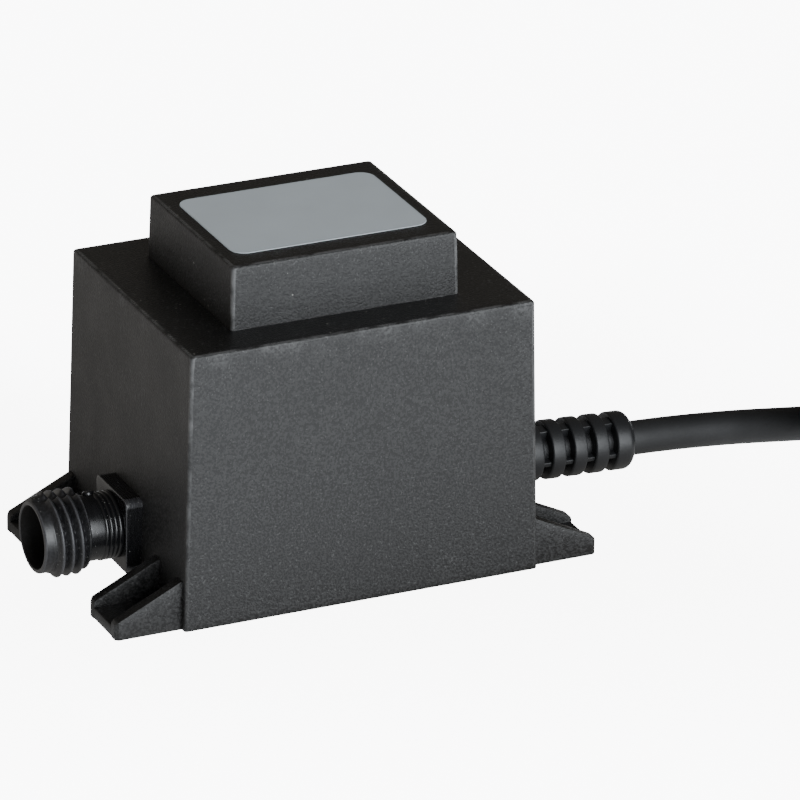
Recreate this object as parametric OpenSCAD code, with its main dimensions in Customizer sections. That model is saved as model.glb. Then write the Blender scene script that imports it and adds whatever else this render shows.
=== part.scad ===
/* [Core sheets] */
// Width of the stack of sheets, along X
sheet_w = 66; // [60:0.5:76]
// Depth of the stack, E and I together, along Y
sheet_d = 55; // [50:0.5:64]
// Width of an outer limb, half the middle limb
limb_w = 11; // [9:0.5:13]
// Height of the whole stack
stack_h = 27; // [20:1:34]
// Step from one sheet to the next
sheet_pitch = 0.5; // [0.35:0.05:1]
// Varnish gap between two sheets
varnish_gap = 0.03; // [0.01:0.01:0.05]

/* [Coil on its bobbin] */
// Wall of the moulded bobbin
bobbin_t = 1.2; // [0.8:0.1:1.6]
// Play between the bobbin and the middle limb
bobbin_play = 0.2; // [0.1:0.05:0.4]
// Play between the coil's flanges and the outer limbs
window_play = 0.5; // [0.3:0.1:1]
// Depth of wire wound on the bobbin
winding_t = 8.3; // [6:0.1:8.6]
// Thickness of the insulating tape over each winding
tape_t = 0.4; // [0.2:0.1:0.6]
// How far the bobbin's flanges stand past the tape, above and below
flange_lip = 1.2; // [0.5:0.1:2]
// Corner radius of the wound coil
winding_r = 6; // [3:0.5:8]
// Diameter of the bobbin's solder pins
solder_pin_d = 1; // [0.8:0.1:1.2]
// Length of a solder pin below the flange
solder_pin_l = 3.6; // [2.5:0.1:4.5]

/* [Housing] */
// Wall thickness
wall_t = 1.9; // [1.5:0.1:2.6]
// Space between the core and each end wall, at the top of the body
end_gap = 1.15; // [0.5:0.05:4]
// Space between the core and the front and back walls, at the top of the body
face_gap = 0.15; // [0.1:0.05:3]
// Height of the room for leads below the core
lead_room_h = 27.5; // [26:0.5:36]
// Space between the core and the flat top of the body
top_gap = 0.6; // [0.3:0.1:3]
// How far each end wall leans in over the body's height
end_lean = 1.45; // [0.5:0.05:2.5]
// How far the front and back walls lean in over the body's height
face_lean = 0.45; // [0.2:0.05:1.5]
// Radius of the outer edges
edge_r = 0.8; // [0.4:0.1:1.4]
// Space beside the coil in the raised block, along X
block_side_gap = 0.2; // [0.1:0.1:3]
// Space at the coil's ends in the raised block, along Y
block_end_gap = 2.1; // [0.5:0.1:4]
// Space above the coil in the raised block
block_top_gap = 2.2; // [0.5:0.1:5]
// How far the raised block's walls lean in over its height
block_lean = 0.33; // [0.1:0.01:0.8]
// How far the potting compound stops short of the base
fill_recess = 1; // [0.5:0.1:3]

/* [Mounting feet] */
// How far a foot stands out from the end wall
foot_l = 13.6; // [11:0.1:18]
// Width of a foot across its two ribs
foot_w = 13.4; // [12:0.1:18]
// Distance from the body's front or back face to the foot
foot_inset = 1.7; // [1:0.1:8]
// Thickness of the foot's floor
foot_floor_t = 2.4; // [1.8:0.1:3.2]
// Thickness of a foot's rib
foot_rib_t = 2.3; // [1.6:0.1:2.8]
// Height of a rib at the body
foot_rib_h = 10.1; // [8:0.1:14]
// Height of a rib at its tip
foot_tip_h = 4; // [3:0.1:5.5]
// Cut on the tip's corners, seen from above
foot_corner = 0.6; // [0.4:0.1:2.5]
// Rounding of a rib's top at its tip
foot_tip_r = 1.2; // [0.6:0.1:2]
// Diameter of the screw hole
screw_hole_d = 4.4; // [3.2:0.1:5.4]
// Distance of the screw hole from the end wall, at the base
screw_out = 5.9; // [4.5:0.1:9]

/* [Output socket] */
// Height of the socket and of the mains cord above the base
port_z = 11.3; // [10.5:0.1:12.2]
// How far the socket sits off the middle of its wall, towards the back
socket_y = -0.6; // [-3:0.1:3]
// Width and height of the square flange
flange_w = 15.3; // [14.6:0.1:18]
// Thickness of the flange
flange_t = 3.3; // [2:0.1:5]
// Diameter of the smooth neck
neck_d = 13; // [12.6:0.1:14]
// Length of the neck, with its rings
neck_l = 6.9; // [6:0.1:12]
// Height of a neck ring above the neck
neck_ring_h = 0.4; // [0.2:0.05:0.6]
// Outer diameter of the thread
thread_d = 17; // [16.4:0.1:18.5]
// Pitch of the thread
thread_pitch = 2; // [1.5:0.1:2.5]
// Depth of the thread
thread_depth = 1.3; // [0.8:0.1:1.4]
// Length of the threaded part
thread_l = 7.7; // [6:0.1:12]
// Length of the plain lip in front of the thread
lip_l = 2; // [1:0.1:3]
// Diameter of the mouth's bore
mouth_d = 12.4; // [11.6:0.1:12.6]
// Depth of the mouth's bore
mouth_l = 8.7; // [6:0.1:9]
// Diameter of the contact carrier
carrier_d = 10.2; // [9.8:0.1:11]
// Outer diameter of a contact
contact_d = 3; // [2.4:0.1:3.4]
// Bore of a contact
contact_bore_d = 1.8; // [1.2:0.1:2]
// Depth of a contact's bore
contact_bore_l = 9; // [6:0.5:12]
// Distance between the two contacts
contact_pitch = 5; // [4.6:0.1:5.6]

/* [Strain relief] */
// Length of the strain relief outside the wall
relief_l = 33.9; // [30:0.1:45]
// How far the strain relief droops, in degrees
relief_droop = 2.6; // [0:0.1:5]
// Diameter of its first rib
relief_root_d = 12.1; // [12:0.1:15]
// Diameter of its last rib
relief_tip_d = 11.9; // [10.4:0.1:12]
// Width of a rib
relief_rib_w = 3; // [2:0.1:3.4]
// Step from one rib to the next
relief_pitch = 4.8; // [4.2:0.02:5.2]
// Length of the solid tip
relief_tip_l = 4.3; // [4:0.1:8]
// Outer diameter of the core under the ribs
relief_core_d = 8.6; // [8.2:0.1:9.4]
// Width of the webs that bridge the slots at the front and back
relief_web_w = 1; // [0.8:0.1:2]
// Width of the webs that bridge the slots above and below
relief_ridge_w = 2.4; // [1:0.1:4]

/* [Mains cord and plug] */
// Outer diameter of the cord
cord_d = 7; // [6.4:0.1:7.4]
// Diameter of one insulated mains core
mains_core_d = 2.2; // [1.8:0.1:2.6]
// Diameter of one insulated output lead
output_lead_d = 2.6; // [2:0.1:3]
// Width of the plug
plug_w = 36; // [32:0.5:38]
// Thickness of the plug
plug_t = 26; // [22:0.5:28]
// Length of the plug without its pins
plug_l = 55; // [50:1:64]
// Diameter of a plug pin
plug_pin_d = 4.8; // [4:0.1:5]
// Length of a plug pin
plug_pin_l = 19; // [17:0.5:20]
// Distance between the plug pins
plug_pin_pitch = 19; // [17:0.5:20]

/* [Thermal fuse] */
// Diameter of the thermal fuse
fuse_d = 4; // [3:0.1:4.2]
// Length of the thermal fuse
fuse_l = 11; // [9:0.5:14]
// Wall of the sleeve over the fuse
sleeve_t = 0.4; // [0.3:0.05:0.6]
// Diameter of the fuse's bare leads
fuse_lead_d = 0.8; // [0.6:0.1:1]

/* [Rating label] */
// Width of the label
label_w = 41.4; // [30:0.1:44]
// Depth of the label
label_d = 29.6; // [20:0.1:38]
// Corner radius of the label
label_r = 3.2; // [1:0.1:5]
// Thickness of the label
label_t = 0.15; // [0.1:0.05:0.3]

/* [Hidden] */
$fn = 64;
cut = 0.5;
film = 0.01;
fit_gap = 0.1;
bend_steps = 32;
bend_share = 1.05;
ease_share = 0.25;
wire_sides = 8;

// Stack of sheets
stack_low = lead_room_h;
stack_top = lead_room_h + stack_h;
stack_mid = lead_room_h + stack_h / 2;
sheet_t = sheet_pitch - varnish_gap;
sheet_count = floor(stack_h / sheet_pitch);
leg_l = sheet_d - 2 * limb_w;
e_d = sheet_d - limb_w;

// Bobbin and windings, as sizes across the middle limb
tube_in = [2 * (limb_w + bobbin_play), stack_h + 2 * bobbin_play];
tube_out = [tube_in.x + 2 * bobbin_t, tube_in.y + 2 * bobbin_t];
wire_out = [tube_out.x + 2 * winding_t, tube_out.y + 2 * winding_t];
tape_out = [wire_out.x + 2 * tape_t, wire_out.y + 2 * tape_t];
flange_out = [2 * (2 * limb_w - window_play), tape_out.y + 2 * flange_lip];
bobbin_l = leg_l - 2 * bobbin_play;
chamber_l = (bobbin_l - 3 * bobbin_t) / 2;
coil_low = stack_mid - tape_out.y / 2;
flange_low = stack_mid - flange_out.y / 2;

// Housing
body_w = sheet_w + 2 * (end_gap + wall_t + end_lean);
body_d = sheet_d + 2 * (face_gap + wall_t + face_lean);
body_h = stack_top + top_gap + wall_t;
block_w = flange_out.x + 2 * (block_side_gap + wall_t + block_lean);
block_d = bobbin_l + 2 * (block_end_gap + wall_t + block_lean);
total_h = stack_mid + flange_out.y / 2 + block_top_gap + wall_t;
block_h = total_h - body_h;
block_sink = wall_t / 2;
inner_r = edge_r / 2;
wall_x = body_w / 2 - end_lean * port_z / body_h;
inner_wall_x = wall_x - wall_t;
foot_root = wall_t / 2;
screw_x = body_w / 2 + screw_out;
screw_y = body_d / 2 - foot_inset - foot_w / 2;

// Output socket, measured outwards from the wall
thread_start = flange_t + neck_l;
lip_start = thread_start + thread_l;
socket_l = lip_start + lip_l;
root_r = thread_d / 2 - thread_depth;
thread_sides = 32;
steps_per_turn = 8;
spigot_d = neck_d - wall_t / 2;
lock_t = 1.4;
lock_w = 1.2;
carrier_front = socket_l - mouth_l;
carrier_back = -(wall_t + lock_t + 2 * fit_gap);
contact_back = carrier_back - 3;
neck_rings = 4;
ring_w = 0.55;
ring_step = 0.95;
key_w = 1.8;
key_h = 0.5;
nub_d = 1.8;
nub_h = 0.6;
nub_gap = 0.1;
nub_turn = 10;
seam_turn = 10;
lip_round = 0.5;
flange_r = 1.4;

// Strain relief, measured outwards from the wall
relief_turn = 90 + relief_droop;
rib_gap = relief_pitch - relief_rib_w;
slot_count = floor((relief_l - relief_tip_l) / relief_pitch) - 1;
collar_l = relief_l - relief_tip_l - slot_count * relief_pitch - rib_gap;
collar_d = relief_root_d + 1.6;
relief_bore_d = cord_d + fit_gap;
relief_spigot_d = relief_core_d + 1.2;
tip_round = 1.5;
rib_round = 0.35;
web_inset = 0.7;
sheath_in_l = 12;
cord_exit = [wall_x + relief_l * cos(relief_droop), 0, port_z - relief_l * sin(relief_droop)];
sheath_end = [wall_x - sheath_in_l * cos(relief_droop), 0, port_z + sheath_in_l * sin(relief_droop)];

// Solder pins: the two at the front are the mains side, the two at the back the output side
pin_x = 10;
pin_y = bobbin_l / 2 - bobbin_t / 2;
pin_foot = flange_low - solder_pin_l;
pin_grip = flange_lip;

// Thermal fuse, its sleeve and splice, under the primary winding
fuse_y = -(bobbin_t + chamber_l) / 2;
fuse_z = coil_low - fuse_d / 2 - sleeve_t - fit_gap;
sleeve_l = fuse_l + 2;
splice_d = 2.8;
splice_l = 7;
splice_x = fuse_l / 2 + 3;
core_step = 1.3;
wire_drop = 3.4;
wire_floor = port_z - wire_drop;

// Free cord: its route and its put-away coil, all at real places
lead_route = [[80, 0, 9.4], [95, 0, 8.2], [108, 0.1, 6.6], [118, 0.8, 5.2]];
tail_route = [
    [180.5, -66.5, 30.5], [164, -77, 33.6], [147.5, -79, 36.4], [133.5, -75.5, 38.2],
    [121.8, -67.2, 39.7], [115.4, -53.6, 41.4], [116.8, -38.7, 43], [122.6, -28.8, 44.2]
];
plug_turn = 40;
plug_rear = [128, -24.3, 44.2];
coil_centre = [149, -35];
coil_floor = 4.5;
coil_out_r = 43.5;
turn_step = 7.6;
layer_step = 7.6;
coil_layers = 4;
coil_start_turn = 112;
coil_sweep = 7 * 360 + 132;
coil_turns = coil_sweep / 360;
layer_turns = coil_turns / coil_layers;
climb_turns = 0.5;
coil_rings = 177;
coil_sides = 6;
lead_sides = 12;
tie_turns = [20, 200];
tie_w = 5;
tie_t = 0.8;
tie_play = 0.2;

function unit(v) = v / norm(v);
function clamp01(v) = min(1, max(0, v));
function wave(t) = let (half = floor(t / layer_turns), rest = t - half * layer_turns)
    half % 2 == 0 ? rest : layer_turns - rest;
function climb(t, k) = clamp01((t - k * layer_turns) / climb_turns + 0.5);
function climbs(t) = climb(t, 1) + climb(t, 2) + climb(t, 3);
function coil_r(t) = coil_out_r - turn_step * wave(t);
function coil_point(t) = let (a = coil_start_turn - 360 * t) [
    coil_centre.x + coil_r(t) * cos(a),
    coil_centre.y + coil_r(t) * sin(a),
    coil_floor + layer_step * climbs(t)
];
function coil_heading(t) = let (a = coil_start_turn - 360 * t) [sin(a), -cos(a), 0];
coil_wound = [for (i = [0:coil_rings]) coil_point(coil_turns * min(i / coil_rings, 1 - film / coil_rings))];
coil_start = coil_wound[0] - cord_d * coil_heading(0);
coil_end = coil_wound[coil_rings] + cord_d * coil_heading(coil_turns);
coil_path = concat([coil_start], coil_wound, [coil_end]);
lead_path = concat([cord_exit], lead_route, [coil_start]);
tail_path = concat([coil_end], tail_route, [plug_rear]);

// Length of a path, and the least gap between turns of the coil
function path_l(path, i = 0) = i + 1 >= len(path) ? 0 : norm(path[i + 1] - path[i]) + path_l(path, i + 1);
near_rings = 12;
coil_gap = min([
    for (i = [0:coil_rings - near_rings], j = [i + near_rings:coil_rings])
        norm(coil_wound[i] - coil_wound[j])
]) - cord_d;
echo(coil_gap = coil_gap);
echo(cord_length = path_l(lead_path) + path_l(coil_path) + path_l(tail_path));
echo(body = [body_w, body_d, body_h], block = [block_w, block_d, block_h], total_h = total_h);

// Ring of points square to a path, and the closed tube through all its rings
function heading(path, i) = unit(path[min(i + 1, len(path) - 1)] - path[max(i - 1, 0)]);
function tube_ring(path, i, d, sides) =
    let (ahead = heading(path, i), side = unit(cross(ahead, [0, 0, 1])), up = cross(side, ahead))
    [for (k = [0:sides - 1]) path[i] + d / 2 * (cos(360 * k / sides) * side + sin(360 * k / sides) * up)];
module tube(path, d, sides) {
    last = (len(path) - 1) * sides;
    polyhedron(
        points = [for (i = [0:len(path) - 1]) each tube_ring(path, i, d, sides)],
        faces = concat(
            [for (i = [0:len(path) - 2], k = [0:sides - 1])
                let (a = i * sides + k, b = i * sides + (k + 1) % sides) [a, b, b + sides]],
            [for (i = [0:len(path) - 2], k = [0:sides - 1])
                let (a = i * sides + k, b = i * sides + (k + 1) % sides) [a, b + sides, a + sides]],
            [for (k = [1:sides - 2]) [0, k + 1, k]],
            [for (k = [1:sides - 2]) [last, last + k, last + k + 1]]
        )
    );
}

// Rectangle with round corners, kept as true arcs
module round_rect(size, r) {
    square([size.x - 2 * r, size.y], center = true);
    square([size.x, size.y - 2 * r], center = true);
    for (x = [-1, 1], y = [-1, 1])
        translate([x * (size.x / 2 - r), y * (size.y / 2 - r)]) circle(r);
}

// Box whose walls lean in as they rise, with round upright edges and a round top edge
module leaning_box(base, lean, rise, low, high, r, top_r) {
    turns = top_r > 0 ? [0, 30, 60, 90] : [0];
    hull() {
        layer(base - 2 * lean * low / rise, low, r);
        for (turn = turns)
            layer(
                base - 2 * lean * (high - top_r) / rise - 2 * top_r * (1 - cos(turn)) * [1, 1],
                high - top_r + top_r * sin(turn) - film, r
            );
    }
}
module layer(size, z, r) {
    translate([0, 0, z]) linear_extrude(film)
        offset(r, $fn = bend_steps) square([size.x - 2 * r, size.y - 2 * r], center = true);
}

// Bar and bent wire between points
module bar(from, to, d) {
    way = to - from;
    translate(from)
        rotate([0, acos(way.z / norm(way)), atan2(way.y, way.x)]) cylinder(h = norm(way), d = d);
}
module bare_wire(points, d) {
    for (i = [0:len(points) - 2]) bar(points[i], points[i + 1], d);
    for (i = [1:len(points) - 2]) translate(points[i]) sphere(d = d * bend_share);
}
// Insulated wire: its corners are cut once, then a tube follows them
function eased(points) = concat(
    [points[0]],
    [for (i = [0:len(points) - 2]) each [
        points[i] + ease_share * (points[i + 1] - points[i]),
        points[i + 1] + ease_share * (points[i] - points[i + 1])
    ]],
    [points[len(points) - 1]]
);
module wire(points, d) {
    tube(eased(points), d, wire_sides);
}

module body_solid(low) {
    leaning_box([body_w, body_d], [end_lean, face_lean], body_h, low, body_h, edge_r, edge_r);
}
module block_solid() {
    translate([0, 0, body_h])
        leaning_box([block_w, block_d], block_lean * [1, 1], block_h, -block_sink, block_h, edge_r, edge_r);
}
module cavity(low) {
    leaning_box(
        [body_w - 2 * wall_t, body_d - 2 * wall_t], [end_lean, face_lean], body_h,
        low, body_h - wall_t, inner_r, 0
    );
    translate([0, 0, body_h])
        leaning_box(
            [block_w - 2 * wall_t, block_d - 2 * wall_t], block_lean * [1, 1], block_h,
            -wall_t - block_sink, block_h - wall_t, inner_r, 0
        );
}
module at_socket() {
    translate([-wall_x, socket_y, port_z]) rotate([0, -90, 0]) children();
}
module at_relief() {
    translate([wall_x, 0, port_z]) rotate([0, relief_turn, 0]) children();
}

// One foot, drawn at the +X, +Y corner, with its floor on the base plane
module foot() {
    plan = [
        [-foot_root, 0], [foot_l - foot_corner, 0], [foot_l, foot_corner],
        [foot_l, foot_w - foot_corner], [foot_l - foot_corner, foot_w], [-foot_root, foot_w]
    ];
    profile = [
        [-foot_root, 0], [foot_l, 0], [foot_l, foot_tip_h - foot_tip_r],
        [foot_l - foot_tip_r / 3, foot_tip_h - foot_tip_r / 4],
        [foot_l - foot_tip_r, foot_tip_h + foot_tip_r / 4],
        [0, foot_rib_h], [-foot_root, foot_rib_h]
    ];
    translate([body_w / 2, body_d / 2 - foot_inset - foot_w, 0])
        difference() {
            intersection() {
                union() {
                    translate([-foot_root, 0, 0]) cube([foot_root + foot_l, foot_w, foot_floor_t]);
                    for (y = [foot_rib_t, foot_w])
                        translate([0, y, 0]) rotate([90, 0, 0]) linear_extrude(foot_rib_t) polygon(profile);
                }
                linear_extrude(foot_rib_h) polygon(plan);
            }
            translate([screw_out, foot_w / 2, -cut]) cylinder(h = foot_floor_t + 2 * cut, d = screw_hole_d);
        }
}

module housing() {
    color([0.23, 0.24, 0.26])
        difference() {
            union() {
                body_solid(0);
                block_solid();
                for (x = [0, 1], y = [0, 1]) mirror([x, 0, 0]) mirror([0, y, 0]) foot();
            }
            cavity(-cut);
            at_socket() translate([0, 0, -2 * wall_t]) cylinder(h = 3 * wall_t, d = spigot_d);
            at_relief() translate([0, 0, -2 * wall_t]) cylinder(h = 3 * wall_t, d = relief_spigot_d);
        }
}

module potting_compound() {
    color([0.1, 0.1, 0.1])
        difference() {
            cavity(fill_recess);
            translate([-sheet_w / 2, -sheet_d / 2, stack_low]) cube([sheet_w, sheet_d, stack_h]);
            coil_space();
            at_socket() socket_back();
            carrier_shape();
            at_relief() relief_back();
            at_relief() translate([0, 0, -sheath_in_l]) cylinder(h = sheath_in_l + cut, d = cord_d);
            contact_bars();
            sleeve_bars();
            solder_pins();
            fuse_sleeve_solid();
            splice_solid();
            fuse_leads();
            mains_core_brown();
            mains_core_blue();
            output_lead_red();
            output_lead_black();
        }
}
// Space that the bobbin and its windings take outside the stack
module coil_space() {
    for (y = [-1, 1])
        translate([0, y * (bobbin_t + chamber_l) / 2, stack_mid])
            rotate([90, 0, 0]) linear_extrude(chamber_l, center = true) round_rect(tape_out, winding_r);
    for (y = [-1, 0, 1])
        translate([0, y * (bobbin_t + chamber_l), stack_mid])
            cube([flange_out.x, bobbin_t, flange_out.y], center = true);
}

module rating_label() {
    color([0.62, 0.65, 0.67])
        translate([0, 0, total_h]) linear_extrude(label_t) round_rect([label_w, label_d], label_r);
}

// Threaded barrel: one surface of rings whose radius follows the thread, ending in a rounded lip.
// The thread stops for the mould's seam along the top.
function ridge(f) = clamp01(1.25 - 3.6 * abs(f - 0.5));
function fade(z) =
    clamp01((z - thread_start) / thread_pitch * 3) * clamp01((lip_start - z) / thread_pitch * 2);
function seam(a) = clamp01(min(a, 360 - a) / seam_turn);
function thread_r(z, a) =
    let (f = z / thread_pitch - a / 360) root_r + thread_depth * fade(z) * seam(a) * ridge(f - floor(f));
module threaded_barrel() {
    rows = ceil(thread_l / thread_pitch * steps_per_turn);
    steps = concat(
        [for (i = [0:rows]) [thread_start + thread_l * i / rows, 0]],
        [for (turn = [0, 45, 90])
            [socket_l - lip_round + lip_round * sin(turn), lip_round * (1 - cos(turn))]]
    );
    last = (len(steps) - 1) * thread_sides;
    polyhedron(
        points = [
            for (s = steps, k = [0:thread_sides - 1])
                let (a = 360 * k / thread_sides, r = thread_r(s[0], a) - s[1])
                [r * cos(a), r * sin(a), s[0]]
        ],
        faces = concat(
            [for (i = [0:len(steps) - 2], k = [0:thread_sides - 1])
                let (a = i * thread_sides + k, b = i * thread_sides + (k + 1) % thread_sides)
                [a, b + thread_sides, b]],
            [for (i = [0:len(steps) - 2], k = [0:thread_sides - 1])
                let (a = i * thread_sides + k, b = i * thread_sides + (k + 1) % thread_sides)
                [a, a + thread_sides, b + thread_sides]],
            [for (k = [1:thread_sides - 2]) [0, k, k + 1]],
            [for (k = [1:thread_sides - 2]) [last, last + k + 1, last + k]]
        )
    );
}
// The part of the socket inside the wall
module socket_back() {
    translate([0, 0, -wall_t - fit_gap - lock_t])
        cylinder(h = wall_t + fit_gap + lock_t + cut, d = spigot_d - fit_gap);
    translate([0, 0, -wall_t - fit_gap - lock_t]) cylinder(h = lock_t - fit_gap, d = spigot_d + 2 * lock_w);
}
module output_socket() {
    color([0.06, 0.06, 0.07])
        difference() {
            union() {
                difference() {
                    at_socket() translate([0, 0, -cut])
                        linear_extrude(flange_t + cut) round_rect(flange_w * [1, 1], flange_r);
                    body_solid(0);
                }
                at_socket() socket_back();
                at_socket() cylinder(h = thread_start + cut, d = neck_d);
                at_socket() for (i = [0:neck_rings - 1])
                    translate([0, 0, flange_t + i * ring_step])
                        cylinder(h = ring_w, d = neck_d + 2 * neck_ring_h);
                at_socket() threaded_barrel();
                at_socket() translate([root_r - key_h, -key_w / 2, lip_start - key_h])
                    cube([2 * key_h, key_w, lip_l]);
                at_socket() rotate([0, 0, nub_turn])
                    translate([0, 0, flange_t + neck_rings * ring_step + nub_gap])
                        rotate([0, 90, 0]) cylinder(h = neck_d / 2 + nub_h, d = nub_d);
            }
            at_socket() translate([0, 0, carrier_front]) cylinder(h = mouth_l + cut, d = mouth_d);
            at_socket() translate([0, 0, carrier_back - cut])
                cylinder(h = carrier_front - carrier_back + 2 * cut, d = carrier_d);
        }
}
module carrier_shape() {
    at_socket() translate([0, 0, carrier_back])
        cylinder(h = carrier_front - carrier_back, d = carrier_d - fit_gap);
}
module contact_carrier() {
    color([0.12, 0.12, 0.13])
        difference() {
            carrier_shape();
            contact_bars();
        }
}
module contact_bars() {
    at_socket() for (y = [-1, 1])
        translate([0, y * contact_pitch / 2, contact_back])
            cylinder(h = carrier_front - contact_back, d = contact_d);
}
module output_contacts() {
    color([0.75, 0.6, 0.3])
        difference() {
            contact_bars();
            at_socket() for (y = [-1, 1])
                translate([0, y * contact_pitch / 2, carrier_front - contact_bore_l])
                    cylinder(h = contact_bore_l + cut, d = contact_bore_d);
        }
}
sleeve_tail_l = 3.5;
sleeve_back = contact_back - sleeve_tail_l;
module sleeve_bars() {
    at_socket() for (y = [-1, 1])
        translate([0, y * contact_pitch / 2, sleeve_back])
            cylinder(h = carrier_back - sleeve_back, d = contact_d + 2 * sleeve_t);
}
module contact_sleeves() {
    color([0.1, 0.1, 0.1])
        difference() {
            sleeve_bars();
            contact_bars();
            at_socket() for (y = [-1, 1])
                translate([0, y * contact_pitch / 2, sleeve_back - cut])
                    cylinder(h = contact_back - sleeve_back + 2 * cut, d = output_lead_d);
        }
}

// The part of the strain relief inside the wall
module relief_back() {
    translate([0, 0, -wall_t - fit_gap - lock_t])
        cylinder(h = wall_t + fit_gap + lock_t + cut, d = relief_spigot_d - fit_gap);
    translate([0, 0, -wall_t - 2 * fit_gap - lock_t])
        cylinder(h = lock_t - fit_gap, d = relief_spigot_d + 2 * lock_w);
}
module relief_rib(z, h, d, r) {
    translate([0, 0, z]) rotate_extrude() {
        square([d / 2 - r, h]);
        translate([0, r]) square([d / 2, h - 2 * r]);
        for (y = [r, h - r]) translate([d / 2 - r, y]) circle(r);
    }
}
module relief_web(w) {
    translate([-w / 2, web_inset - relief_tip_d / 2, collar_l / 2])
        cube([w, relief_tip_d - 2 * web_inset, relief_l - relief_tip_l]);
}
module strain_relief() {
    color([0.09, 0.09, 0.1])
        difference() {
            union() {
                difference() {
                    at_relief() translate([0, 0, -cut])
                        cylinder(h = collar_l + cut, d1 = collar_d, d2 = relief_root_d);
                    body_solid(0);
                }
                at_relief() relief_back();
                at_relief() cylinder(h = relief_l - cut, d = relief_core_d);
                at_relief() for (i = [0:slot_count - 1]) {
                    z = collar_l + rib_gap + i * relief_pitch;
                    d = relief_root_d + (relief_tip_d - relief_root_d) * z / relief_l;
                    relief_rib(z, relief_rib_w, d, rib_round);
                }
                at_relief() relief_rib(relief_l - relief_tip_l, relief_tip_l, relief_tip_d, tip_round);
                at_relief() {
                    relief_web(relief_web_w);
                    rotate([0, 0, 90]) relief_web(relief_ridge_w);
                }
            }
            at_relief() translate([0, 0, -relief_l]) cylinder(h = 3 * relief_l, d = relief_bore_d);
        }
}
module cord_sheath_end() {
    color([0.07, 0.07, 0.08])
        at_relief() translate([0, 0, -sheath_in_l]) cylinder(h = sheath_in_l + relief_l, d = cord_d);
}

module core_e_sheets() {
    color([0.5, 0.5, 0.52])
        for (i = [0:sheet_count - 1])
            translate([0, -sheet_d / 2, stack_low + i * sheet_pitch]) linear_extrude(sheet_t) difference() {
                translate([-sheet_w / 2, 0]) square([sheet_w, e_d]);
                for (x = [-1, 1])
                    translate([x * 1.5 * limb_w - limb_w / 2, limb_w]) square([limb_w, leg_l + cut]);
            }
}
module core_i_sheets() {
    color([0.55, 0.55, 0.57])
        for (i = [0:sheet_count - 1])
            translate([-sheet_w / 2, sheet_d / 2 - limb_w, stack_low + i * sheet_pitch])
                cube([sheet_w, limb_w, sheet_t]);
}
module bobbin() {
    color([0.85, 0.83, 0.75])
        translate([0, 0, stack_mid]) difference() {
            union() {
                cube([tube_out.x, bobbin_l, tube_out.y], center = true);
                for (y = [-1, 0, 1])
                    translate([0, y * (bobbin_t + chamber_l), 0])
                        cube([flange_out.x, bobbin_t, flange_out.y], center = true);
            }
            cube([tube_in.x, bobbin_l + 2 * cut, tube_in.y], center = true);
            translate([0, 0, -stack_mid]) solder_pins();
        }
}
module wound(y, inner, outer, l, r) {
    translate([0, y, stack_mid]) rotate([90, 0, 0]) linear_extrude(l, center = true) difference() {
        round_rect(outer, r);
        square(inner, center = true);
    }
}
module tape(y) {
    translate([0, y, stack_mid]) rotate([90, 0, 0]) linear_extrude(chamber_l, center = true) difference() {
        round_rect(tape_out, winding_r);
        round_rect(wire_out, winding_r - tape_t);
    }
}
chamber_y = (bobbin_t + chamber_l) / 2;
module primary_winding() {
    color([0.6, 0.3, 0.15]) wound(-chamber_y, tube_out, wire_out, chamber_l, winding_r - tape_t);
}
module secondary_winding() {
    color([0.72, 0.4, 0.2]) wound(chamber_y, tube_out, wire_out, chamber_l, winding_r - tape_t);
}
module primary_tape() {
    color([0.85, 0.7, 0.2]) tape(-chamber_y);
}
module secondary_tape() {
    color([0.85, 0.7, 0.2]) tape(chamber_y);
}
module solder_pins() {
    color([0.8, 0.8, 0.82])
        for (x = [-pin_x, pin_x], y = [-pin_y, pin_y])
            translate([x, y, pin_foot]) cylinder(h = solder_pin_l + pin_grip, d = solder_pin_d);
}

module fuse_solid() {
    translate([-fuse_l / 2, fuse_y, fuse_z]) rotate([0, 90, 0]) cylinder(h = fuse_l, d = fuse_d);
}
module thermal_fuse() {
    color([0.9, 0.88, 0.8]) fuse_solid();
}
module fuse_sleeve_solid() {
    translate([-sleeve_l / 2, fuse_y, fuse_z]) rotate([0, 90, 0])
        cylinder(h = sleeve_l, d = fuse_d + 2 * sleeve_t);
}
module fuse_sleeve() {
    color([0.15, 0.15, 0.15])
        difference() {
            fuse_sleeve_solid();
            fuse_solid();
            fuse_leads();
        }
}
module splice_solid() {
    translate([splice_x, fuse_y, fuse_z]) rotate([0, 90, 0]) cylinder(h = splice_l, d = splice_d);
}
module crimp_splice() {
    color([0.8, 0.7, 0.5])
        difference() {
            splice_solid();
            fuse_leads();
            mains_core_brown();
        }
}
// Bare leads of the fuse: one to the front left pin, one into the splice
module fuse_leads() {
    color([0.8, 0.8, 0.8]) {
        bare_wire([
            [-fuse_l / 2, fuse_y, fuse_z],
            [-pin_x, fuse_y, fuse_z],
            [-pin_x, -pin_y, pin_foot - fuse_lead_d / 2]
        ], fuse_lead_d);
        bar([fuse_l / 2, fuse_y, fuse_z], [splice_x + splice_l / 2, fuse_y, fuse_z], fuse_lead_d);
    }
}
module mains_core_brown() {
    color([0.4, 0.2, 0.1])
        wire([
            sheath_end + [0, -core_step, 0],
            [splice_x + splice_l + mains_core_d, fuse_y, fuse_z],
            [splice_x + splice_l / 2, fuse_y, fuse_z]
        ], mains_core_d);
}
module mains_core_blue() {
    color([0.1, 0.25, 0.6])
        wire([
            sheath_end + [0, core_step, 0],
            [pin_x + core_step, 0, wire_floor],
            [pin_x, -pin_y + core_step, wire_floor],
            [pin_x, -pin_y, pin_foot - mains_core_d / 2]
        ], mains_core_d);
}
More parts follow.
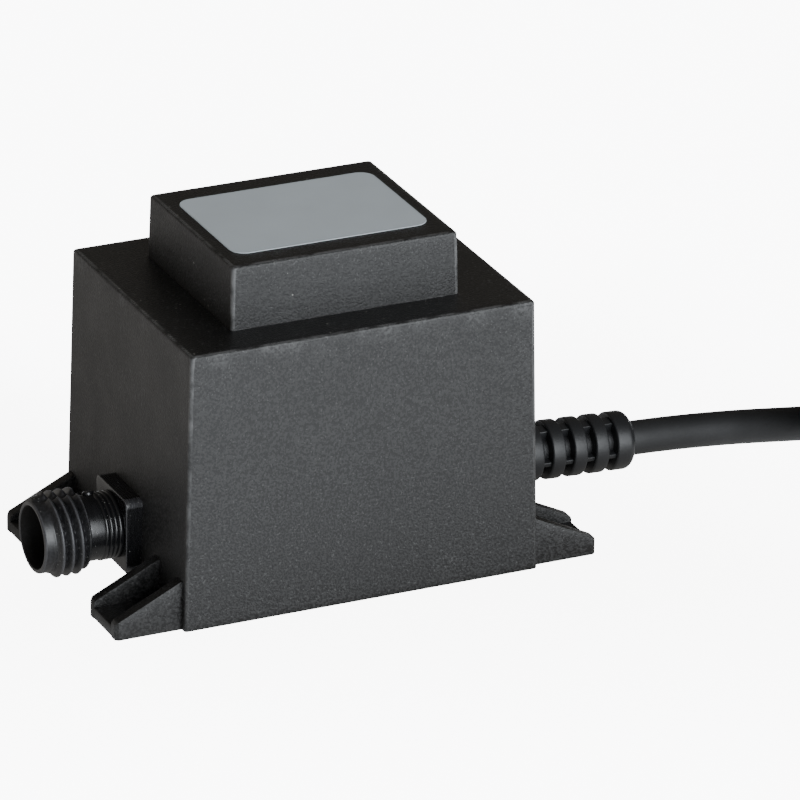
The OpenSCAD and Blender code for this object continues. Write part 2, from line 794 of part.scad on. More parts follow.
module output_lead_red() {
    color([0.6, 0.1, 0.1])
        wire([
            [-wall_x - contact_back, socket_y - contact_pitch / 2, port_z],
            [-wall_x - sleeve_back + output_lead_d, socket_y - contact_pitch / 2, port_z],
            [-pin_x, contact_pitch, wire_floor],
            [-pin_x, pin_y, pin_foot - output_lead_d / 2]
        ], output_lead_d);
}
module output_lead_black() {
    color([0.08, 0.08, 0.08])
        wire([
            [-wall_x - contact_back, socket_y + contact_pitch / 2, port_z],
            [-wall_x - sleeve_back + output_lead_d, socket_y + contact_pitch / 2, port_z],
            [-pin_x, 2 * contact_pitch, wire_floor - output_lead_d - core_step],
            [pin_x, pin_y, pin_foot - output_lead_d / 2]
        ], output_lead_d);
}

module cord_lead() {
    color([0.07, 0.07, 0.08]) tube(lead_path, cord_d, lead_sides);
}
module cord_coil() {
    color([0.07, 0.07, 0.08]) tube(coil_path, cord_d, coil_sides);
}
module cord_tail() {
    color([0.07, 0.07, 0.08]) tube(tail_path, cord_d, lead_sides);
}
// Flat ties drawn round the bundle of turns
module cord_ties() {
    color([0.1, 0.1, 0.1])
        for (turn = tie_turns)
            translate([coil_centre.x, coil_centre.y, 0]) rotate([0, 0, turn]) rotate([90, 0, 0])
                linear_extrude(tie_w, center = true) difference() {
                    round_all(passes(turn), cord_d + 2 * tie_play + 2 * tie_t);
                    round_all(passes(turn), cord_d + 2 * tie_play);
                }
}
// Where the turns of the coil pass a given direction from its centre, as [radius, height]
function on_coil(t) = let (u = t / coil_turns * coil_rings, i = floor(u), rest = u - i)
    coil_wound[i] * (1 - rest) + coil_wound[i + 1] * rest;
function passes(turn) = [
    for (t = [(coil_start_turn - turn + 360) / 360 % 1 : 1 : coil_turns - 1 / coil_rings])
        let (p = on_coil(t)) [norm([p.x, p.y] - coil_centre), p.z]
];
module round_all(points, d) {
    hull() for (p = points) translate(p) circle(d = d, $fn = bend_steps);
}

// Plug, drawn along its own axis from the cord's entry to its face
plug_relief_l = 16;
plug_head_l = 18;
plug_neck_w = 15;
plug_neck_t = 12;
plug_corner_share = 0.42;
plug_entry_d = 9.5;
plug_pin_round = 1.6;
plug_rib_w = 1.6;
plug_rib_step = 3.2;
plug_rib_h = 0.5;
plug_rib_growth = 0.3;
plug_ribs = 4;
module at_plug() {
    translate(plug_rear) rotate([0, 0, plug_turn]) rotate([0, 90, 0]) rotate([0, 0, 90]) children();
}
module plug_body() {
    head_r = plug_t * plug_corner_share;
    color([0.08, 0.08, 0.09])
        difference() {
            at_plug() {
                cylinder(h = plug_relief_l + cut, d = plug_entry_d);
                for (i = [0:plug_ribs - 1])
                    translate([0, 0, i * plug_rib_step])
                        cylinder(h = plug_rib_w, d = plug_entry_d + 2 * (plug_rib_h + i * plug_rib_growth));
                hull() {
                    translate([0, 0, plug_relief_l - plug_rib_w]) linear_extrude(film)
                        offset(plug_neck_t / 2 - cut, $fn = bend_steps)
                            square([plug_neck_w - plug_neck_t + 2 * cut, 2 * cut], center = true);
                    translate([0, 0, plug_l - plug_head_l]) linear_extrude(film)
                        offset(head_r, $fn = bend_steps)
                            square([plug_w - 2 * head_r, plug_t - 2 * head_r], center = true);
                }
                translate([0, 0, plug_l - plug_head_l]) linear_extrude(plug_head_l)
                    offset(head_r, $fn = bend_steps)
                        square([plug_w - 2 * head_r, plug_t - 2 * head_r], center = true);
            }
            plug_pin_bars();
        }
}
module plug_pin_bars() {
    at_plug() for (x = [-1, 1])
        translate([x * plug_pin_pitch / 2, 0, plug_l]) {
            translate([0, 0, -plug_pin_l / 2])
                cylinder(h = plug_pin_l / 2 + cut, d = plug_pin_d - plug_pin_round);
            cylinder(h = plug_pin_l - plug_pin_round, d = plug_pin_d);
            translate([0, 0, plug_pin_l - plug_pin_round])
                cylinder(h = plug_pin_round, d1 = plug_pin_d, d2 = plug_pin_d - 2 * plug_pin_round);
        }
}
module plug_pins() {
    color([0.8, 0.78, 0.7]) plug_pin_bars();
}

housing();
potting_compound();
rating_label();
output_socket();
contact_carrier();
output_contacts();
contact_sleeves();
strain_relief();
cord_sheath_end();
core_e_sheets();
core_i_sheets();
bobbin();
primary_winding();
secondary_winding();
primary_tape();
secondary_tape();
solder_pins();
thermal_fuse();
fuse_sleeve();
crimp_splice();
fuse_leads();
mains_core_brown();
mains_core_blue();
output_lead_red();
output_lead_black();
cord_lead();
cord_coil();
cord_tail();
cord_ties();
plug_body();
plug_pins();
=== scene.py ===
"""Looks of a potted mains transformer: housing, label, threaded socket, strain relief, cord and plug."""
import json
import math

import bmesh
import bpy
from mathutils import Matrix, Vector


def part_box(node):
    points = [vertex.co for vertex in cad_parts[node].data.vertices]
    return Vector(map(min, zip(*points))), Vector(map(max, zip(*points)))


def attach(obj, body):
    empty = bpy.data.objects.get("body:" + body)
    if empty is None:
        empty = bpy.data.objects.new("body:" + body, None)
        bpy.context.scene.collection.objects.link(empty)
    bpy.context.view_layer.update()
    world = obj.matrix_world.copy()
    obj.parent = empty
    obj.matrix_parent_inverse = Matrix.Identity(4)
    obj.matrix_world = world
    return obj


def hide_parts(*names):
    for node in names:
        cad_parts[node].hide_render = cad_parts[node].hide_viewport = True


bl_info = {
    "name": "Potted Transformer",
    "version": (1, 0, 0),
    "blender": (4, 5, 0),
    "location": "View3D > Sidebar > Transformer",
    "description": "Dresses the solids of a potted mains transformer",
    "category": "Object",
}

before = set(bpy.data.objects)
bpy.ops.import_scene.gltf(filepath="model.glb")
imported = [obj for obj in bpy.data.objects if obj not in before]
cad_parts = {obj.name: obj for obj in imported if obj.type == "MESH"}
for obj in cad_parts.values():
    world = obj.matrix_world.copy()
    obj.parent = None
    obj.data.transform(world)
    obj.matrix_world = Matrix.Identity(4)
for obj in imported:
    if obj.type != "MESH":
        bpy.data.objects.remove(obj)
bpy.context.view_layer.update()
MM = 0.001
ROOT = "root"
LABEL_LOW, LABEL_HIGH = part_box("rating_label")
HOUSING_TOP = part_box("housing")[1][2]

# Where the photograph was taken from, in degrees and millimetres.
CAMERA_TURN, CAMERA_RISE, CAMERA_ROLL = 24.932, 23.588, 0.79
CAMERA_AT, CAMERA_LENS, CAMERA_SENSOR = (-535.788, -1198.419, 603.792), 329.59, 36.0

# What the floor, the unseen card below the part and the room give, as linear tones.
FLOOR_GLOW = 9.0
CAMERA_WHITE = (9.0, 9.0, 9.0, 1.0)
ROOM_TONE = (0.165, 0.155, 0.14, 1.0)
NEAR_TONE, SIDE_TONE, FRONT_TONE = (0.3, 0.29, 0.28, 1.0), (0.7, 0.676, 0.644, 1.0), (1.96, 2.04, 2.13, 1.0)


# ---------------------------------------------------------------- sizes and colours

def length(name, description, default):
    return bpy.props.FloatProperty(
        name=name, description=description, default=default, unit="LENGTH", subtype="DISTANCE", precision=5
    )


def colour(name, description, default):
    return bpy.props.FloatVectorProperty(
        name=name, description=description, default=default, size=3, min=0.0, max=1.0, subtype="COLOR"
    )


class TransformerSizes(bpy.types.PropertyGroup):
    body_width: length("Body width", "Width of the body at its base", 75 * MM)
    body_depth: length("Body depth", "Depth of the body at its base", 60 * MM)
    body_height: length("Body height", "Height of the flat top", 57 * MM)
    end_lean: length("End lean", "How far an end wall leans in over its height", 1.45 * MM)
    face_lean: length("Face lean", "How far the front and back lean in over their height", 0.45 * MM)
    edge_radius: length("Edge radius", "Radius of the housing's outer edges", 0.6 * MM)
    wall: length("Wall", "Wall of the housing", 1.9 * MM)
    block_width: length("Block width", "Width of the raised block at its foot", 47.86 * MM)
    block_depth: length("Block depth", "Depth of the raised block at its foot", 41.26 * MM)
    block_lean: length("Block lean", "How far the block's walls lean in over its height", 0.33 * MM)
    total_height: length("Total height", "Height of the whole housing", HOUSING_TOP)
    foot_length: length("Foot length", "How far a foot stands out", 13.6 * MM)
    foot_width: length("Foot width", "Width of a foot over its ribs", 13.4 * MM)
    foot_inset: length("Foot inset", "From the body's face to the foot", 1.7 * MM)
    foot_floor: length("Foot floor", "Thickness of a foot's floor", 2.4 * MM)
    rib_thickness: length("Rib thickness", "Thickness of a foot's rib", 2.3 * MM)
    rib_height: length("Rib height", "Height of a rib at the body", 10.1 * MM)
    rib_tip: length("Rib tip", "Height of a rib at its tip", 4.0 * MM)
    hole: length("Screw hole", "Radius of a screw hole", 2.2 * MM)
    hole_out: length("Screw hole place", "From the end wall's plane to the screw hole", 5.9 * MM)
    port_height: length("Port height", "Height of the socket and the cord above the base", 11.3 * MM)
    socket_shift: length("Socket shift", "How far the socket sits off the middle", -0.6 * MM)
    cord_diameter: length("Cord diameter", "Outer diameter of the mains cord", 7 * MM)


class TransformerColours(bpy.types.PropertyGroup):
    housing: colour("Housing", "Grained black moulding", (0.003, 0.003, 0.003))
    resin: colour("Resin", "Cast filling seen from below", (0.02, 0.02, 0.022))
    label: colour("Label", "Silver-grey label film", (0.51, 0.56, 0.593))
    socket: colour("Socket", "Glossy black socket", (0.008, 0.008, 0.009))
    rubber: colour("Rubber", "Strain relief and cord", (0.006, 0.0063, 0.007))
    plug: colour("Plug", "Moulded plug", (0.007, 0.0073, 0.008))
    floor: colour("Floor", "Pale studio floor", (0.9, 0.9, 0.9))


def sizes():
    return bpy.context.scene.transformer_sizes


def colours():
    return bpy.context.scene.transformer_colours


# ---------------------------------------------------------------- shader maths

class Value:
    """An output of a shader node. Python's operators on it add Math nodes."""

    def __init__(self, paint, socket):
        self.paint, self.socket = paint, socket

    def maths(self, operation, *values):
        return self.paint.node("ShaderNodeMath", {"operation": operation}, dict(enumerate(values)))

    def __add__(self, other):
        return self.maths("ADD", self, other)

    __radd__ = __add__

    def __sub__(self, other):
        return self.maths("SUBTRACT", self, other)

    def __rsub__(self, other):
        return self.maths("SUBTRACT", other, self)

    def __mul__(self, other):
        return self.maths("MULTIPLY", self, other)

    __rmul__ = __mul__

    def __lt__(self, other):
        return self.maths("LESS_THAN", self, other)

    def __gt__(self, other):
        """What Python also calls for a number < this."""
        return self.maths("GREATER_THAN", self, other)

    def __abs__(self):
        return self.maths("ABSOLUTE", self)

    def least(self, other):
        return self.maths("MINIMUM", self, other)

    def most(self, other):
        return self.maths("MAXIMUM", self, other)

    def wave(self):
        return self.maths("SINE", self)

    def step(self, low, high):
        """0 below low, 1 above high, smooth between."""
        return self.paint.node(
            "ShaderNodeMapRange", {"interpolation_type": "SMOOTHSTEP"},
            {"Value": self, "From Min": low, "From Max": high, "To Min": 0.0, "To Max": 1.0},
        )


class Nodes:
    """A node tree in the making."""

    def __init__(self, owner):
        owner.use_nodes = True
        self.tree = owner.node_tree

    def join(self, socket, value):
        if isinstance(value, Value):
            self.tree.links.new(value.socket, socket)
        else:
            socket.default_value = value

    def node(self, kind, settings=None, inputs=None, output=0):
        made = self.tree.nodes.new(kind)
        for key, value in (settings or {}).items():
            setattr(made, key, value)
        for key, value in (inputs or {}).items():
            self.join(made.inputs[key], value)
        return Value(self, made.outputs[output])

    def mix(self, share, first, second):
        return self.node(
            "ShaderNodeMix", {"data_type": "RGBA"}, {0: share, 6: first, 7: second}, output=2
        )

    def part(self, vector, axis):
        return self.node("ShaderNodeSeparateXYZ", inputs={0: vector}, output=axis)


class Paint(Nodes):
    """A material in the making, with one Principled shader. Its patterns lie in the object's coordinates."""

    def __init__(self, name, base, roughness, **settings):
        self.material, self.base = bpy.data.materials.new(name), base
        super().__init__(self.material)
        self.shader = self.tree.nodes["Principled BSDF"]
        self.material.diffuse_color = (*base, 1.0)
        self.set("Base Color", (*base, 1.0))
        self.set("Roughness", roughness)
        for key, value in settings.items():
            self.set(key.replace("_", " "), value)
        self.place = self.node("ShaderNodeTexCoord", output="Object")

    def set(self, socket, value):
        self.join(self.shader.inputs[socket], value)

    def tone(self, factor, lift=0.0):
        """The base colour made lighter or darker."""
        return (*[min(1.0, c * factor + lift) for c in self.base], 1.0)

    def axis(self, name):
        """A coordinate in millimetres."""
        return self.part(self.place, name) * 1000.0

    def noise(self, size_mm, detail=2.0, roughness=0.5, stretch=None):
        place = self.place
        if stretch:
            place = self.node("ShaderNodeVectorMath", {"operation": "MULTIPLY"}, {0: place, 1: stretch})
        return self.node(
            "ShaderNodeTexNoise", None,
            {"Vector": place, "Scale": 1000.0 / size_mm, "Detail": detail, "Roughness": roughness},
        )

    def cells(self, size_mm):
        return self.node("ShaderNodeTexVoronoi", None, {"Vector": self.place, "Scale": 1000.0 / size_mm})

    def wear_and_highlight(self, low, high):
        """How worn the mesh is here, which also marks where a painted highlight goes: its edges stand out."""
        return self.node("ShaderNodeAttribute", {"attribute_name": "wear_and_highlight"}, output="Fac").step(low, high)

    def finish(self, shade, roughness, height, depth_mm, strength=1.0):
        self.set("Base Color", shade)
        self.set("Roughness", roughness)
        self.set("Normal", self.node(
            "ShaderNodeBump", None, {"Strength": strength, "Distance": depth_mm * MM, "Height": height}
        ))
        return self.material


def grained_plastic(name, base, flat_top_mm, roughness=0.5, grain_mm=0.46, depth_mm=0.08):
    """Spark-eroded moulding: pale grain, painted weaker on the tops as painted shade, pale specks as painted glints,
    edges made paler as rubbed wear and painted highlight, scuffs under the flat top's edge, dust on its tops.
    """
    paint = Paint(name, base, roughness)
    z = paint.axis("Z")
    grain = paint.noise(grain_mm, 1.0)
    fine = paint.noise(grain_mm * 0.5, 1.0)
    patch = paint.noise(12.0, 3.0, 0.55)
    tips = grain.step(0.43, 0.59)
    painted_glint = paint.noise(grain_mm * 0.95, 0.0).step(0.7, 0.79)
    # Edges made paler, more so towards the flat top: partly rubbed wear, partly a painted highlight along them.
    rubbed_and_highlit = paint.wear_and_highlight(0.78, 1.0) * paint.noise(4.0).step(0.3, 0.6)
    rubbed_and_highlit = rubbed_and_highlit * (z.step(10.0, flat_top_mm) * 0.75 + 0.25)
    under_edge = z.step(flat_top_mm - 5.0, flat_top_mm - 0.5) - z.step(flat_top_mm, flat_top_mm + 0.2)
    scuffed = under_edge * paint.noise(8.0).step(0.48, 0.68) * paint.noise(0.8).step(0.35, 0.65)
    mote = (paint.cells(2.6) < 0.08) * paint.noise(9.0, 1.0).step(0.5, 0.58)
    up = paint.part(paint.node("ShaderNodeTexCoord", output="Normal"), "Z").step(0.5, 0.95)
    # Pale grain is painted weaker on faces that look up: painted shade on the tops.
    shade = paint.mix(tips * (1.0 - 0.6 * up), paint.tone(0.1), paint.tone(4.8))
    # Pale specks over the grain: painted glints.
    shade = paint.mix(painted_glint * 0.7, shade, paint.tone(4.0, 0.03))
    shade = paint.mix((rubbed_and_highlit * 0.8).most(scuffed * 0.45 * (1.0 - up)), shade, paint.tone(4.0, 0.07))
    shade = paint.mix(mote * z.step(flat_top_mm - 0.1, flat_top_mm) * 0.5, shade, (0.3, 0.3, 0.28, 1.0))
    rough = roughness - 0.05 + 0.1 * tips + 0.06 * patch.step(0.3, 0.7) - 0.1 * rubbed_and_highlit - 0.12 * up
    return paint.finish(shade, rough, grain + fine * 0.6 + patch * 0.5, depth_mm)


def smooth_plastic(name, base, roughness, ripple_mm, depth_mm):
    """Polished moulding with a faint flow ripple, light scuffs and paler edges."""
    paint = Paint(name, base, roughness)
    flow = paint.noise(ripple_mm)
    fine = paint.noise(0.35)
    scuff = paint.noise(0.5, 3.0, 0.7, (1.0, 0.12, 0.4)).step(0.6, 0.75)
    shade = paint.mix(flow, paint.tone(0.85), paint.tone(1.2))
    shade = paint.mix(paint.wear_and_highlight(0.3, 1.0) * 0.25, shade, paint.tone(2.4))
    return paint.finish(shade, roughness + 0.1 * scuff + 0.06 * fine, flow + fine * 0.12, depth_mm, 0.6)


def socket_gloss(name, base):
    """Glossy black moulding, duller on the thread and the lip, with dust in its corners, and crests and rims made paler
    as wear and as a painted highlight.
    """
    paint = Paint(name, base, 0.3)
    out = paint.axis("X") * -1.0
    threaded = out.step(47.2, 47.6)
    ringed = out.step(40.4, 40.7) - out.step(44.3, 44.7)
    flow = paint.noise(5.0)
    fine = paint.noise(0.3)
    scuff = paint.noise(0.35, 3.0, 0.7, (1.0, 0.12, 0.12))
    mote = (paint.cells(0.9) < 0.13) * paint.noise(3.0, 1.0).step(0.52, 0.6)
    # Crests, rims and the nub are made paler: partly rubbed wear, partly a painted highlight on them.
    crest_wear_and_highlight = paint.wear_and_highlight(0.75, 0.98) * (0.6 + 0.4 * scuff.step(0.35, 0.6))
    grime = paint.noise(0.6).step(0.45, 0.6) * threaded
    shade = paint.mix(grime * 0.5, paint.mix(flow, paint.tone(0.5), paint.tone(1.0)), paint.tone(2.4))
    shade = paint.mix(crest_wear_and_highlight * 0.6, shade, paint.tone(6.0, 0.03))
    shade = paint.mix(mote * 0.5, shade, (0.22, 0.22, 0.21, 1.0))
    rough = 0.22 + 0.14 * threaded - 0.08 * ringed + 0.1 * scuff.step(0.4, 0.7) + 0.04 * fine
    return paint.finish(shade, rough, flow + (fine * 0.2 + scuff * 0.1) * (threaded + 0.1), 0.03, 0.6)


def soft_rubber(name, base, roughness, specular, depth_mm=0.03):
    """Flexible sheath: matt skin, fine pores, faint bloom."""
    paint = Paint(name, base, roughness, Specular_IOR_Level=specular)
    skin = paint.noise(0.5, 3.0, 0.6)
    bloom = paint.noise(11.0, 3.0).step(0.42, 0.75)
    pores = paint.noise(0.28, 1.0).step(0.66, 0.76)
    shade = paint.mix(bloom, paint.tone(0.9), paint.tone(1.25, 0.002))
    shade = paint.mix(paint.wear_and_highlight(0.3, 1.0) * 0.3, shade, paint.tone(2.2))
    shade = paint.mix(pores * 0.3, shade, paint.tone(2.6))
    return paint.finish(shade, roughness + 0.1 * skin - 0.05 * bloom, skin + bloom * 0.3, depth_mm, 0.8)


def cast_resin(name, base):
    """Poured filling: level, slightly wavy, with small sunk bubbles."""
    paint = Paint(name, base, 0.3)
    swell = paint.noise(16.0)
    bubble = paint.cells(5.5).step(0.1, 0.16)
    pit = 1.0 - (1.0 - bubble) * paint.noise(12.0, 0.0).step(0.5, 0.56)
    shade = paint.mix(swell, paint.tone(0.8), paint.tone(1.5, 0.003))
    return paint.finish(shade, 0.26 + 0.16 * paint.noise(2.5, 3.0), swell * 1.5 + pit * 0.6, 0.25, 0.8)


def plated_metal(name, base, roughness):
    """Drawn or turned metal with fine lines and a little tarnish."""
    paint = Paint(name, base, roughness, Metallic=1.0)
    lines = paint.noise(0.15, stretch=(1.0, 1.0, 0.08))
    tarnish = paint.noise(4.0, 3.0).step(0.45, 0.75)
    shade = paint.mix(tarnish * 0.4, paint.tone(1.0), paint.tone(0.62))
    return paint.finish(shade, roughness + 0.15 * tarnish + 0.08 * lines, lines, 0.01, 0.5)


def rolled_sheets(name, base):
    """Stacked core sheets: one tone a sheet, rust-brown at the cut edges."""
    paint = Paint(name, base, 0.42, Metallic=1.0)
    sheet = paint.node("ShaderNodeMath", {"operation": "FLOOR"}, {0: paint.axis("Z") * 2.0})
    layer = paint.node("ShaderNodeTexWhiteNoise", {"noise_dimensions": "1D"}, {"W": sheet})
    rust = paint.noise(5.0, 4.0, 0.6).step(0.5, 0.72)
    shade = paint.mix(layer, paint.tone(0.7), paint.tone(1.15))
    shade = paint.mix(rust * 0.5, shade, (0.16, 0.08, 0.04, 1.0))
    paint.set("Metallic", 1.0 - rust * 0.6)
    return paint.finish(shade, 0.38 + 0.3 * rust, paint.noise(0.3, stretch=(0.1, 1.0, 1.0)), 0.01, 0.6)


def wound_wire(name, base, pitch_mm):
    """Layered winding: turns side by side along the coil, with lacquer gloss, painted shade between the turns and a
    painted highlight on them.
    """
    paint = Paint(name, base, 0.3, Metallic=0.85)
    turn = (paint.axis("Y") * (2.0 * math.pi / pitch_mm)).wave()
    drift = paint.noise(3.0)
    # The colour follows the turns: darker in the grooves as painted shade, lighter on the crests as a painted
    # highlight.
    shade = paint.mix((turn * 0.5 + 0.5) * 0.6 + drift * 0.4, paint.tone(0.45), paint.tone(1.15))
    return paint.finish(shade, 0.24 + 0.2 * drift, turn + drift, pitch_mm * 0.3, 0.8)


def glossy_tape(name, base):
    """Polyester tape with laps across the coil and a waxy sheen."""
    paint = Paint(name, base, 0.32)
    lap = (paint.axis("Y") * 0.9 + paint.noise(9.0, 1.0) * 0.8).wave().step(0.9, 1.0)
    wrinkle = paint.noise(1.4, 3.0, stretch=(0.3, 1.0, 0.3))
    shade = paint.mix(lap * 0.5 + wrinkle * 0.3, paint.tone(1.0), paint.tone(0.6))
    return paint.finish(shade, 0.28 + 0.2 * wrinkle, wrinkle + lap, 0.06, 0.7)


def dull_insulation(name, base, roughness, **settings):
    """Plain coloured insulation, moulding or ceramic, with fine mottling."""
    paint = Paint(name, base, roughness, **settings)
    mottle = paint.noise(2.2, 3.0)
    fine = paint.noise(0.3)
    shade = paint.mix(mottle, paint.tone(0.85), paint.tone(1.12))
    return paint.finish(shade, roughness + 0.14 * fine, fine + mottle * 0.5, 0.02, 0.7)


def silver_film(name, base, width, depth):
    """Silver-grey film with a faint cloud, a little darker along its cut edge."""
    paint = Paint(name, base, 0.4)
    to_edge = (width / MM / 2 - abs(paint.axis("X"))).least(depth / MM / 2 - abs(paint.axis("Y")))
    cloud = paint.noise(9.0, 3.0)
    grain = paint.noise(0.3)
    shade = paint.mix(cloud, paint.tone(0.93), paint.tone(1.07))
    shade = paint.mix((1.0 - to_edge.step(0.1, 0.6)) * 0.3, shade, paint.tone(0.6))
    return paint.finish(shade, 0.34 + 0.14 * cloud + 0.06 * grain, cloud + grain * 0.12, 0.03, 0.6)


# ---------------------------------------------------------------- meshes, each as points, faces and a mask of wear and painted highlight

def piece(name, parts, material, angle=35.0):
    """A new piece in metres, riding on the one body."""
    points, faces, wear_and_highlight = parts
    mesh = bpy.data.meshes.new(name)
    mesh.from_pydata([tuple(p) for p in points], [], faces)
    mesh.attributes.new("wear_and_highlight", "FLOAT", "POINT").data.foreach_set("value", wear_and_highlight)
    made = bmesh.new()
    made.from_mesh(mesh)
    bmesh.ops.recalc_face_normals(made, faces=made.faces)
    made.to_mesh(mesh)
    made.free()
    mesh.shade_smooth()
    mesh.set_sharp_from_angle(angle=math.radians(angle))
    mesh.materials.append(material)
    thing = bpy.data.objects.new(name, mesh)
    bpy.context.scene.collection.objects.link(thing)
    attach(thing, ROOT)
    return thing


def dress(node, material):
    """Give a solid of the frame its finish, keeping its mesh."""
    thing = bpy.data.objects[node] if node in bpy.data.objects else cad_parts[node]
    for slot in thing.material_slots:
        slot.material = material
    if not thing.material_slots:
        thing.data.materials.append(material)


def joined(parts):
    """Several meshes put together as one."""
    points, faces, wear_and_highlight = [], [], []
    for more, shapes, rub_and_highlight in parts:
        start = len(points)
        points += more
        faces += [[start + k for k in face] for face in shapes]
        wear_and_highlight += rub_and_highlight
    return points, faces, wear_and_highlight


def loft(loops, wear_and_highlight=None, capped=True):
    """Faces through equal closed loops of points, one after another."""
    count = len(loops[0])
    points = [Vector(p) for loop in loops for p in loop]
    faces = []
    for i in range(len(loops) - 1):
        for k in range(count):
            n = (k + 1) % count
            a, b = i * count, (i + 1) * count
            faces.append([a + k, a + n, b + n, b + k])
    if capped:
        faces.append(list(range(count)))
        faces.append([(len(loops) - 1) * count + k for k in reversed(range(count))])
    return points, faces, [w for row in wear_and_highlight for w in row] if wear_and_highlight else [0.0] * len(points)


def arc(x, y, radius, start, end, steps):
    """Points on an arc, its two ends among them."""
    turns = [math.radians(start + (end - start) * k / steps) for k in range(steps + 1)]
    return [(x + radius * math.cos(t), y + radius * math.sin(t)) for t in turns]


def circle(radius, sides):
    return arc(0.0, 0.0, radius, 0, 360, sides)[:-1]


def round_rect(width, depth, radius, margin, steps=5):
    """A loop of (x, y, wear and highlight mask): round corners, and a point at the margin from each corner on every
    side.
    """
    loop = []
    for quarter, (sx, sy) in enumerate(((1, 1), (-1, 1), (-1, -1), (1, -1))):
        ends = [(sx * width / 2, sy * (depth / 2 - margin), 0.0), (sx * (width / 2 - margin), sy * depth / 2, 0.0)]
        if quarter % 2:
            ends.reverse()
        centre = sx * (width / 2 - radius), sy * (depth / 2 - radius)
        corner = arc(*centre, radius, 90 * quarter, 90 * quarter + 90, steps)
        loop += [ends[0], *((x, y, 1.0) for x, y in corner), ends[1]]
    return loop


def leaning_shell(width, depth, lean_x, lean_y, low, high, rise, radius, margin, start):
    """A leaning rounded block from low to high, with a round top edge, after rows of (z, inset, wear and highlight
    mask).
    """
    rows = [*start, (low + margin, 0.0, 0.0), ((low + high) / 2, 0.0, 0.0), (high - radius - margin, 0.0, 0.0)]
    for inset, z in arc(radius, high - radius, radius, 180, 90, 5):
        rows.append((z, inset, 0.4 + 0.6 * (z - high + radius) / radius))
    rows.append((high, radius + margin, 0.0))
    loops, wear_and_highlight_rows = [], []
    for z, inset, rub_and_highlight in rows:
        share = (z - rise[0]) / (rise[1] - rise[0])
        loop = round_rect(
            width - 2 * lean_x * share - 2 * inset, depth - 2 * lean_y * share - 2 * inset, radius, margin
        )
        loops.append([(x, y, z) for x, y, _ in loop])
        wear_and_highlight_rows.append([max(rub_and_highlight, corner) if inset <= radius * 1.001 else rub_and_highlight for _, _, corner in loop])
    return loft(loops, wear_and_highlight_rows)


def solid_prism(outline, low, high, place, bevel, cuts=()):
    """An outline raised from low to high in its own frame, cut by planes, with its edges rounded."""
    made = bmesh.new()
    face = made.faces.new([made.verts.new((x, y, low)) for x, y in outline])
    for vert in bmesh.ops.extrude_face_region(made, geom=[face])["geom"]:
        if isinstance(vert, bmesh.types.BMVert):
            vert.co.z = high
    for point, normal in cuts:
        geometry = made.verts[:] + made.edges[:] + made.faces[:]
        cut = bmesh.ops.bisect_plane(made, geom=geometry, plane_co=point, plane_no=normal, clear_outer=True)
        edges = [e for e in cut["geom_cut"] if isinstance(e, bmesh.types.BMEdge)]
        bmesh.ops.edgeloop_fill(made, edges=edges)
    bmesh.ops.recalc_face_normals(made, faces=made.faces)
    sharp = [e for e in made.edges if len(e.link_faces) == 2 and e.calc_face_angle(0.0) > math.radians(40)]
    bmesh.ops.bevel(
        made, geom=sharp, offset=bevel, offset_type="OFFSET", segments=3, profile=0.5, affect="EDGES",
        clamp_overlap=True,
    )
    made.verts.index_update()
    points = [place @ v.co for v in made.verts]
    faces = [[v.index for v in f.verts] for f in made.faces]
    made.free()
    return points, faces, [0.8] * len(points)


def turned(profile, place, sides=96, wear_and_highlight=None, closed=False):
    """A profile of (radius, height) in millimetres, turned about the local Z axis. A closed one makes a ring."""
    loops = [[place @ Vector((x, y, h * MM)) for x, y in circle(r * MM, sides)] for r, h in profile]
    points, faces, rub_and_highlight = loft(loops, [[w] * sides for w in wear_and_highlight] if wear_and_highlight else None, not closed)
    if closed:
        last = (len(loops) - 1) * sides
        faces += [[last + k, last + (k + 1) % sides, (k + 1) % sides, k] for k in range(sides)]
    return points, faces, rub_and_highlight


def rounded_disc(inner, outer, low, high, radius, steps=5):
    """A ring's closed profile with round outer corners, as (radius, height), and its wear."""
    bottom = arc(outer - radius, low + radius, radius, -90, 0, steps)
    top = arc(outer - radius, high - radius, radius, 0, 90, steps)
    shape = [(inner, low), *bottom, *top, (inner, high)]
    return shape, [0.0] + [1.0] * (2 * steps + 2) + [0.0]


def wall_at_ports():
    """How far out the leaning end walls are at the ports' height."""
    s = sizes()
    return s.body_width / 2 - s.end_lean * s.port_height / s.body_height


def socket_place():
    """Local X is up, Y is along the wall and Z goes out of the left end wall."""
    turn = Matrix(((0, 0, -1), (0, 1, 0), (1, 0, 0))).to_4x4()
    return Matrix.Translation((-wall_at_ports(), sizes().socket_shift, sizes().port_height)) @ turn


def relief_place():
    """Local Z runs along the drooping strain relief, out of the right end wall."""
    turn = Matrix.Rotation(math.radians(92.6), 4, "Y")
    return Matrix.Translation((wall_at_ports(), 0, sizes().port_height)) @ turn


# ---------------------------------------------------------------- cord route, in millimetres

RELIEF_LENGTH = 33.9
LEAD = [(80, 0, 9.4), (95, 0, 8.2), (108, 0.1, 6.6), (118, 0.8, 5.2)]
TAIL = [
    (180.5, -66.5, 30.5), (164, -77, 33.6), (147.5, -79, 36.4), (133.5, -75.5, 38.2),
    (121.8, -67.2, 39.7), (115.4, -53.6, 41.4), (116.8, -38.7, 43), (122.6, -28.8, 44.2),
]
PLUG_REAR, PLUG_TURN = Vector((128, -24.3, 44.2)), math.radians(40)
PLUG_AHEAD = Vector((math.cos(PLUG_TURN), math.sin(PLUG_TURN), 0))
COIL_CENTRE, COIL_FLOOR, COIL_OUT = (149, -35), 4.5, 43.5
TURN_STEP, LAYER_STEP, LAYERS = 7.6, 7.6, 4
COIL_START, COIL_TURNS = 112, (7 * 360 + 132) / 360
LAYER_TURNS = COIL_TURNS / LAYERS


